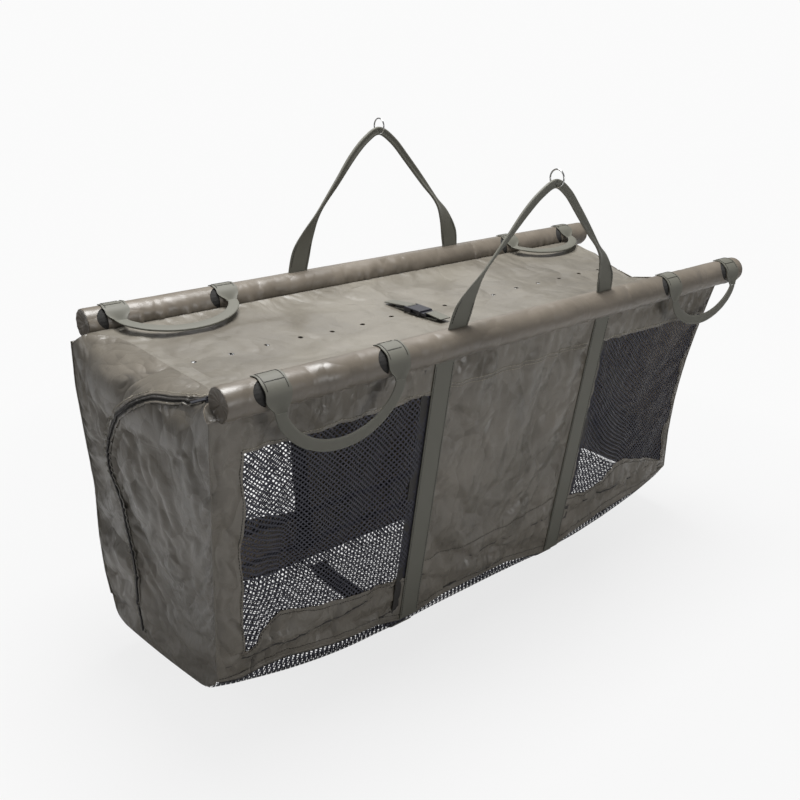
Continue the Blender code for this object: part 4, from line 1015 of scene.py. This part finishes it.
def build_end(side, word):
    points = cloths[word + "_end"]["points"]
    cloth = thicken(laid(word + "_end_cloth", points), cloth_thickness)
    finished(cloth, "side_cloth", "root", [word + "_end_panel"])
    lined(cloth, Vector((side, 0.0, 0.0)))
    gathered(cloth)
    shares = [tuple(p) for p in smooth_points(end_zip_shares, 40)]
    lift = cloth_thickness / 2 + 0.0011 + coil_height / 2
    coil = laid(word + "_end_coil", coil_rows(end_route(points, shares, lift, side), coil_width * 0.5,
                                              coil_height / 2), closed=True, capped=True)
    finished(coil, "zip", "root", [word + "_end_zip"])
    gathered(coil)
    rows = []
    tape = end_route(points, shares[::3], cloth_thickness / 2 + 0.0007, side)
    for i, (spot, normal) in enumerate(tape):
        ahead = tape[min(i + 1, len(tape) - 1)][0] - tape[max(i - 1, 0)][0]
        rows.append(strip(spot, ahead.cross(normal).normalized(), normal, 0.0095, 0.0, 2))
    gathered(finished(thicken(laid(word + "_end_zip_tape", rows), 0.0005), "zip", "root"))
    shares = [tuple(p) for p in smooth_points(end_zip_shares, 12)]
    centre = end_route(points, shares, 0.0, side)
    welts = []
    for way, name in ((-1, "inner"), (1, "outer")):
        rows = []
        for i, (spot, normal) in enumerate(centre):
            ahead = centre[min(i + 1, len(centre) - 1)][0] - centre[max(i - 1, 0)][0]
            across = ahead.cross(normal).normalized()
            middle = spot + across * way * 0.0064 + normal * 0.0013
            rows.append(oval(middle, across, normal, 0.0018, 0.0011, 0.0, 0.9, 10))
        welt = laid(word + "_end_welt_" + name, rows, closed=True, capped=True)
        finished(welt, "side_cloth", "root")
        gathered(welt)
        welts.append([(row[3], centre[i][1]) for i, row in enumerate(rows)])
    line = []
    for i, (spot, normal) in enumerate(centre):
        ahead = centre[min(i + 1, len(centre) - 1)][0] - centre[max(i - 1, 0)][0]
        across = ahead.cross(normal).normalized()
        line.append((spot + across * 0.0110 + normal * cloth_thickness / 2, normal))
    seam = stitched(word + "_end_seam", "root", [line], thread_pale)
    gathered(seam)


for way, word in ((-1, "left"), (1, "right")):
    build_end(way, word)


def build_gusset(side, word):
    """Closes the corner between the left end's shoulder, the wall's top and the bar's cap."""
    end, wall = cloths["left_end"]["points"], cloths[word + "_wall"]["points"]
    rows = []
    for k in range(13):
        v = (end_rows + shoulder_rows * k / 12) / (end_rows + shoulder_rows)
        near = sample(end, 0.0 if side < 0 else 1.0, v)[0]
        far = sample(wall, 0.045 * k / 12, 0.0)[0]
        rows.append([near.lerp(far, j / 6) for j in range(7)])
    piece = thicken(laid("left_gusset_" + word, rows), cloth_thickness)
    gathered(finished(piece, "side_cloth", "root"))


for way, word in ((-1, "front"), (1, "rear")):
    build_gusset(way, word)


# Lid: cut at its fold line, punched along its middle
def build_lid():
    points = cloths["lid"]["points"]
    flap = thicken(laid("lid_flap_cloth", points[:lid_flap_rows + 1]), lid_thickness * 0.7)
    bm = bmesh.new()
    for i in range(hole_places):
        if i == hole_place_of_buckle:
            continue
        spot = Matrix.Translation((first_hole_x + hole_pitch * i, 0.0, lid_z(0.0)))
        bmesh.ops.create_cone(bm, cap_ends=True, segments=16, radius1=hole_radius,
                              radius2=hole_radius, depth=0.03, matrix=spot)
    mesh = bpy.data.meshes.new("punch")
    bm.to_mesh(mesh)
    bm.free()
    punch = linked("punch", mesh)
    cut = flap.modifiers.new("holes", "BOOLEAN")
    cut.object = punch
    cut.solver = "EXACT"
    settled(flap)
    bpy.data.objects.remove(punch, do_unlink=True)
    finished(flap, "lid_cloth", "lid_flap", ["lid_flap_panel"])
    gathered(flap)
    rear = thicken(laid("lid_rear_cloth", points[lid_flap_rows:]), lid_thickness * 0.7)
    finished(rear, "lid_cloth", "root", ["lid_rear_panel"])
    gathered(rear)
    return points


lid_points = build_lid()


# Bars: sleeve cloth drawn over the foam, puckered along its seams, slotted beside each tab
def build_sleeve(side, word):
    columns, around = 300, 44
    half = bar_length / 2
    rows = []
    for i in range(columns + 1):
        x = -half + bar_length * i / columns
        near_tab = min(abs(x - t) for t in tab_places[side]) < 0.034
        near_strap = min(abs(x - strap_spans[side][3] - s * strap_spans[side][0] / 2)
                         for s in (-1, 1)) < 0.050
        row = []
        for k in range(around + 1):
            angle = 2 * pi * (k % around) / around
            low = max(0.0, -sin(angle))
            inner = max(0.0, -side * cos(angle))
            soft = 0.00045 * rough((x, cos(angle) * 0.03, sin(angle) * 0.03), 14.0, 41 + side)
            pucker = rough((x * 2.2, cos(angle) * 0.02, sin(angle) * 0.02), 38.0, 45 + side)
            amount = 0.0030 * low + 0.0012 * inner
            if side > 0:
                amount += 0.0038 * max(0.0, 0.95 - abs(sin(angle) + 0.25))
            if near_tab:
                amount *= 0.35
            if near_strap:
                amount *= 0.15
            radius = sleeve_radius + soft + amount * max(pucker, -0.15)
            radius -= 0.0005 if abs(x) > half - 0.004 else 0.0
            row.append(Vector((x, side * half_spacing + radius * cos(angle),
                               bar_height + radius * sin(angle))))
        rows.append(row)
    sleeve = laid(word + "_sleeve_cloth", rows, closed=True)
    thicken(sleeve, sleeve_wall, -1.0)
    for tab in tab_places[side]:
        edge, rows = tab - webbing_width / 2 + 0.002, []
        for k in range(19):
            turn = 0.45 + 0.85 * (k / 9 - 1)
            width = 0.001 + 0.016 * (1 - (k / 9 - 1) ** 2)
            out = Vector((0.0, -cos(turn), sin(turn)))
            axis = Vector((0.0, side * half_spacing, bar_height))
            rows.append([axis + out * reach + Vector((x, 0.0, 0.0)) for x, reach in
                         ((edge - width, 0.0215), (edge, 0.0215), (edge, 0.030), (edge - width, 0.030),
                          (edge - width, 0.0215))])
        slot = laid("slot", rows, closed=True, capped=True)
        cut = sleeve.modifiers.new("slot", "BOOLEAN")
        cut.object, cut.solver = slot, "EXACT"
        settled(sleeve)
        bpy.data.objects.remove(slot, do_unlink=True)
    finished(sleeve, "sleeve_cloth", word + "_bar", [word + "_bar_sleeve"])
    # Gathered cap at each end: a rolled rim, then cloth drawn in to the middle
    for end_word, way in (("left", -1), ("right", 1)):
        rows = []
        for radius, reach in ((0.0229, -0.004), (0.0236, -0.0008), (0.0230, 0.0008), (0.0216, 0.0002),
                              (0.0200, -0.0014), (0.0150, -0.0024), (0.0090, -0.0030),
                              (0.0040, -0.0034), (0.0002, -0.0036)):
            row = []
            for k in range(61):
                angle = 2 * pi * (k % 60) / 60
                pleat = 0.0011 * sin(13 * angle + rough((cos(angle), sin(angle), 0.0), 1.5, 51) * 2)
                fade = min(1.0, radius / 0.012) * (1 if radius < 0.0225 else 0.3)
                row.append(Vector((way * (half + reach + pleat * fade * 0.8),
                                   side * half_spacing + radius * cos(angle),
                                   bar_height + radius * sin(angle))))
            rows.append(row)
        cap = laid(word + "_cap_cloth_" + end_word, rows, closed=True, capped=True)
        finished(cap, "sleeve_cloth", word + "_bar", [word + "_bar_cap_" + end_word])


for way, word in ((-1, "front"), (1, "rear")):
    build_sleeve(way, word)


# Tabs over the bar: flat over its top, standing off its outer side, then pinched to the handle
def build_tab(side, word, number, x):
    toward = -1
    radius = sleeve_radius + 0.0006 + webbing_thickness / 2
    axis = Vector((side * half_spacing + toward * handle_reach, bar_height - handle_drop[side]))
    last = 0.0 if side < 0 else radians(42.0)
    first = radians(112.0)
    flat = []
    for k in range(15):
        share = k / 14
        angle = first + (last - first) * share
        stand = 0.0022 * max(0.0, share - 0.45) if side < 0 else 0.0
        flat.append((side * half_spacing + toward * (radius + stand) * cos(angle),
                     bar_height + (radius + stand) * sin(angle), webbing_width, 0.0))
    end = Vector(flat[-1][:2])
    for share, width, cup in ((0.35, 0.036, 0.0008), (0.62, 0.029, 0.0018), (0.85, 0.022, 0.0026),
                              (1.0, 0.020, 0.0028), (1.10, 0.020, 0.0024)):
        spot = end.lerp(axis, share)
        flat.append((spot.x, spot.y, width, cup))
    rows = []
    for i, (y, z, width, cup) in enumerate(flat):
        before, after = flat[max(i - 1, 0)], flat[min(i + 1, len(flat) - 1)]
        along = Vector((after[0] - before[0], after[1] - before[1])).normalized()
        through = Vector((0.0, -along.y, along.x))
        if through.y * toward < 0 and through.z < 0:
            through = -through
        lean = 0.0006 * sin(i * 0.9 + x * 40)
        rows.append(strip(Vector((x + lean, y, z)), Vector((1.0, 0.0, 0.0)), through, width, -cup, 12))
    tab = thicken(laid(word + "_tab_webbing_" + str(number), rows), webbing_thickness)
    finished(tab, "webbing", word + "_bar", [word + "_tab_" + str(number)])
    seam = []
    for shift_x in (-0.016, 0.016):
        route = []
        for y, z, width, cup in flat[1:12]:
            out = Vector((0.0, y - side * half_spacing, z - bar_height)).normalized()
            route.append((Vector((x + shift_x, y, z)) + out * webbing_thickness / 2, out))
        seam.append(route)
    y, z = flat[1][:2]
    out = Vector((0.0, y - side * half_spacing, z - bar_height)).normalized()
    for y, z, width, cup in (flat[1], flat[7]):
        out = Vector((0.0, y - side * half_spacing, z - bar_height)).normalized()
        seam.append([(Vector((x + s * 0.016, y, z)) + out * webbing_thickness / 2, out)
                     for s in (-1.0, -0.5, 0.0, 0.5, 1.0)])
    return seam


def build_handle(side, word, end_word, first, second, depth):
    """Folded webbing in a loop from pinch to pinch."""
    toward, slope = -1, handle_slope[side]
    axis_y = side * half_spacing + toward * handle_reach
    axis_z = bar_height - handle_drop[side]
    middle, half = (first + second) / 2, (second - first) / 2
    down = Vector((0.0, toward * cos(slope), -sin(slope)))
    normal = Vector((1.0, 0.0, 0.0)).cross(down)
    path = []
    for k in range(61):
        angle = pi * k / 60
        swell = abs(sin(angle)) ** 1.25
        x = middle - half * cos(angle)
        path.append(Vector((x, axis_y, axis_z)) + down * (0.002 + (depth - 0.002) * swell))
    rows = []
    for i, point in enumerate(path):
        along = (path[min(i + 1, 60)] - path[max(i - 1, 0)]).normalized()
        if i in (0, 60):
            along = down if i == 0 else -down
        across = along.cross(normal).normalized()
        share = min(i, 60 - i) / 10
        thick = handle_thickness * (0.45 + 0.55 * min(1.0, share))
        thick *= 1 + 0.06 * rough((point.x, point.y, point.z), 30.0, 61)
        width = handle_width * (1 + 0.05 * rough((point.x, point.y, point.z), 22.0, 63))
        rows.append(oval(point, across, normal, width / 2, thick / 2, 0.35, 0.62, 24))
    loop = laid(word + "_handle_webbing_" + end_word, rows, closed=True, capped=True)
    finished(loop, "webbing", word + "_handle_" + end_word, [word + "_handle_" + end_word])


for way, word in ((-1, "front"), (1, "rear")):
    seams = []
    for number, place in enumerate(tab_places[way], start=1):
        seams += build_tab(way, word, number, place)
    stitched(word + "_tab_seams", word + "_bar", seams, thread_dark, 0.004)
    for number, end_word in enumerate(("left", "right")):
        build_handle(way, word, end_word, tab_places[way][2 * number], tab_places[way][2 * number + 1],
                     handle_depths[way][number])


# Hanging straps: flat and stitched at the feet, twisted and folded to a narrow tube above
def build_strap(side, word):
    span, rise, lean, along_x = strap_spans[side]
    foot = sleeve_radius + layer_gap
    up = Vector((0.0, side * sin(lean), cos(lean)))
    origin = Vector((0.0, side * half_spacing, bar_height))
    normal = Vector((1.0, 0.0, 0.0)).cross(up)
    path = smooth_points([(along_x + span * x, foot + (rise - foot) * z, webbing_width * w / 2,
                           strap_thickness * t / 2, radians(a)) for x, z, w, t, a in strap_shares], 8)
    points = [Vector((row[0], origin.y, origin.z)) + up * row[1] for row in path]
    rows = []
    for i, row in enumerate(path):
        along = (points[min(i + 1, len(points) - 1)] - points[max(i - 1, 0)]).normalized()
        if i in (0, len(path) - 1):
            along = up if i == 0 else -up
        turn = Matrix.Rotation(row[4], 3, along)
        across = turn @ along.cross(normal).normalized()
        fold = min(1.0, max(0.0, (0.85 - row[2] / (webbing_width / 2)) / 0.4))
        rows.append(oval(points[i], across, turn @ normal, row[2], row[3], 0.5 * fold,
                         0.35 + 0.3 * fold, 24))
    strap = laid(word + "_strap_webbing", rows, closed=True, capped=True)
    finished(strap, "webbing", word + "_hanging_strap", [word + "_hanging_strap"])
    seams = []
    for end in (0, len(path) - 1):
        step = 1 if end == 0 else -1
        for face in (-1, 1):
            for edge in (-0.8, 0.8):
                route = []
                for k in range(2, 14):
                    i = end + step * k
                    row = path[i]
                    along = (points[i + 1] - points[i - 1]).normalized()
                    across = along.cross(normal).normalized()
                    out = normal * face
                    route.append((points[i] + across * row[2] * edge + out * row[3], out))
                seams.append(route)
    stitched(word + "_strap_seams", word + "_hanging_strap", seams, thread_dark, 0.0045)

    top = max(path, key=lambda row: row[1])
    apex = Vector((top[0], origin.y, origin.z)) + up * top[1]
    centre = apex + up * (ring_bore_radius - top[3] - 0.0007)
    rows = []
    for k in range(97):
        turn = Matrix.Rotation(2 * pi * k / 96, 3, "X")
        out = turn @ Vector((0.0, 0.0, 1.0))
        rows.append(oval(centre + out * (ring_bore_radius + ring_wire_radius), out,
                         Vector((1.0, 0.0, 0.0)), ring_wire_radius, ring_wire_radius, 0.0, 1.0, 16))
    ring = laid(word + "_ring_wire", rows, closed=True)
    finished(ring, "steel", word + "_ring", [word + "_ring"])


for way, word in ((-1, "front"), (1, "rear")):
    build_strap(way, word)


# Zip along the front bar: its coil and the tape that joins it to the sleeve
def build_lid_zip():
    start, end = left_edge + 0.006, right_edge - 0.006
    z = lid_z(lid_clear_y) - lid_thickness
    count = int((end - start) / coil_pitch)
    route = [(Vector((start + (end - start) * k / count, -coil_y, z)), Vector((0.0, 0.0, 1.0)))
             for k in range(count + 1)]
    coil = laid("lid_coil", coil_rows(route, coil_width / 2, coil_height / 2), closed=True, capped=True)
    finished(coil, "zip", "front_bar", ["lid_zip"])
    rows = []
    for k in range(121):
        x = start + (end - start) * k / 120
        rows.append([Vector((x, -coil_y - 0.0021 - (0.0079 * j / 3), z + 0.0003 * sin(x * 90 + j)))
                     for j in range(4)])
    tape = thicken(laid("lid_zip_tape", rows), 0.0006)
    finished(tape, "zip", "front_bar")


build_lid_zip()


# Buckle: the moulded halves come from the frame, the webbing round their bars is laid here
female_length, female_bar, female_thickness = 0.040, 0.0032, 0.0086
female_wall, male_length, male_bar = 0.0018, 0.014, 0.0032
buckle_gap = 0.0004
tail_end_y = -0.088
buckle_webbing_width = 0.022
buckle_z = lid_z(tail_end_y) + lid_thickness / 2 + layer_gap + webbing_thickness * 1.5 \
    + female_thickness / 4


def loop_webbing(name, body, node, bar_y, half_long, half_high, way, long_end, short_end):
    half_t = webbing_thickness / 2
    radius = hypot(half_long, half_high) + layer_gap + half_t
    points = [long_end, ((long_end[0] + bar_y) / 2, (long_end[1] + buckle_z + radius) / 2)]
    for k in range(13):
        angle = pi / 2 - pi * k / 12
        points.append((bar_y - way * radius * cos(angle), buckle_z + radius * sin(angle)))
    points += [((short_end[0] + bar_y) / 2, (short_end[1] + buckle_z - radius) / 2), short_end]
    points = [tuple(p) for p in smooth_points(points, 3)]
    rows = []
    for i, (y, z) in enumerate(points):
        before, after = points[max(i - 1, 0)], points[min(i + 1, len(points) - 1)]
        along = Vector((after[0] - before[0], after[1] - before[1])).normalized()
        through = Vector((0.0, -along.y, along.x))
        rows.append(strip(Vector((buckle_x, y, z)), Vector((1.0, 0.0, 0.0)), through,
                          buckle_webbing_width, 0.0, 6))
    piece = thicken(laid(name, rows), webbing_thickness)
    finished(piece, "webbing", body, [node])
    return piece


tab_sewn_y = 0.055
above_lid = lid_thickness / 2 + layer_gap + webbing_thickness / 2
core_half = female_thickness / 2 - female_wall - buckle_gap
loop_webbing("buckle_tab_webbing", "buckle", "buckle_tab", -female_bar / 2, female_bar / 2,
             female_bar / 2, 1,
             (tab_sewn_y, lid_z(tab_sewn_y) + above_lid + webbing_thickness + layer_gap),
             (tab_sewn_y / 2, lid_z(tab_sewn_y / 2) + above_lid))
male_y = -female_length - buckle_gap - male_length + male_bar / 2
loop_webbing("buckle_tail_webbing", "buckle_male", "buckle_tail", male_y, male_bar / 2, core_half, -1,
             (tail_end_y, buckle_z + webbing_thickness),
             (tail_end_y + 3 * male_bar, buckle_z - webbing_thickness))


# The frame's own nodes that stay in view or inside get their finishes
kept = {"front_bar_tube": "alloy", "rear_bar_tube": "alloy", "front_bar_foam": "foam",
        "rear_bar_foam": "foam", "buckle_female": "black_plastic", "buckle_male": "black_plastic",
        "buckle_prong_left": "black_plastic", "buckle_prong_right": "black_plastic",
        "zip_slider": "black_plastic", "zip_puller": "black_plastic"}
for node, kind in kept.items():
    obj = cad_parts[node]
    obj.data.materials.clear()
    obj.data.materials.append(finishes[kind])


# Floor, light and camera
def build_studio():
    bm = bmesh.new()
    bmesh.ops.create_grid(bm, x_segments=1, y_segments=1, size=12.0)
    mesh = bpy.data.meshes.new("floor")
    bm.to_mesh(mesh)
    bm.free()
    floor = linked("floor", mesh)
    floor.location.z = -0.0005
    # Pale matt paper: the eye sees it nearly white, with a soft shadow close to the bag
    material, tree, shader = shader_of("pale_paper", Roughness=0.9)
    grain = add(tree, "ShaderNodeTexNoise", {"Scale": 40.0})
    tone = add(tree, "ShaderNodeValToRGB", {"Fac": grain.outputs["Fac"]})
    tone.color_ramp.elements[0].color = colour("#bebebe")
    tone.color_ramp.elements[1].color = colour("#c2c2c2")
    tree.links.new(tone.outputs[0], shader.inputs["Base Color"])
    path = add(tree, "ShaderNodeLightPath")
    away = add(tree, "ShaderNodeVectorMath", {0: add(tree, "ShaderNodeTexCoord").outputs["Object"]},
               operation="LENGTH")
    spread = add(tree, "ShaderNodeMapRange", {"Value": away.outputs["Value"], "From Min": 0.3,
                                              "From Max": 1.3, "To Min": 0.80, "To Max": 1.0})
    share = add(tree, "ShaderNodeMath", {0: spread.outputs[0], 1: path.outputs["Is Camera Ray"]},
                operation="MULTIPLY")
    glow = add(tree, "ShaderNodeEmission", {"Color": (1.0, 1.0, 1.0, 1.0), "Strength": 0.96})
    mix = add(tree, "ShaderNodeMixShader", {0: share.outputs[0], 1: shader.outputs[0],
                                            2: glow.outputs[0]})
    tree.links.new(mix.outputs[0], tree.nodes["Material Output"].inputs["Surface"])
    floor.data.materials.append(material)

    world = bpy.data.worlds.new("studio")
    bpy.context.scene.world = world
    world.use_nodes = True
    tree = world.node_tree
    path = add(tree, "ShaderNodeLightPath")
    seen = add(tree, "ShaderNodeMath", {0: path.outputs["Is Camera Ray"],
                                        1: path.outputs["Is Transmission Ray"]}, operation="MAXIMUM")
    tree.nodes["Background"].inputs["Color"].default_value = (0.96, 0.97, 1.0, 1.0)
    tree.nodes["Background"].inputs["Strength"].default_value = 0.18
    white = add(tree, "ShaderNodeBackground", {"Color": (1.0, 1.0, 1.0, 1.0), "Strength": 0.96})
    mix = add(tree, "ShaderNodeMixShader", {0: seen.outputs[0],
                                            1: tree.nodes["Background"].outputs[0],
                                            2: white.outputs[0]})
    tree.links.new(mix.outputs[0], tree.nodes["World Output"].inputs["Surface"])

    lamps = (("top_softbox", (0.0, 0.2, 2.5), (0.0, 0.0, 0.4), 1.2, 92.0),
             ("back_softbox", (1.7, 2.2, 1.9), (0.1, 0.0, 0.5), 1.6, 6.0),
             ("front_softbox", (0.3, -2.7, 1.1), (0.0, 0.0, 0.25), 0.9, 20.0),
             ("left_softbox", (-2.6, 0.9, 1.7), (0.0, 0.0, 0.3), 0.6, 8.0))
    for name, spot, aim, size, power in lamps:
        light = bpy.data.lights.new(name, "AREA")
        light.size = size
        light.energy = power
        lamp = bpy.data.objects.new(name, light)
        bpy.context.scene.collection.objects.link(lamp)
        lamp.location = spot
        lamp.rotation_euler = (Vector(aim) - Vector(spot)).to_track_quat("-Z", "Y").to_euler()

    camera_data = bpy.data.cameras.new("camera")
    camera_data.lens = 41.92
    camera_data.sensor_width = 36.0
    camera_data.clip_start = 0.05
    camera = bpy.data.objects.new("camera", camera_data)
    bpy.context.scene.collection.objects.link(camera)
    camera.location = (-1.1251, -1.1272, 1.0124)
    aim = Vector((0.6197, 0.6849, -0.3833))
    roll = Matrix.Rotation(radians(2.2467), 3, "Z")
    camera.rotation_euler = (aim.to_track_quat("-Z", "Y").to_matrix() @ roll).to_euler()
    bpy.context.scene.camera = camera
    bpy.context.scene.view_settings.view_transform = "Standard"


build_studio()
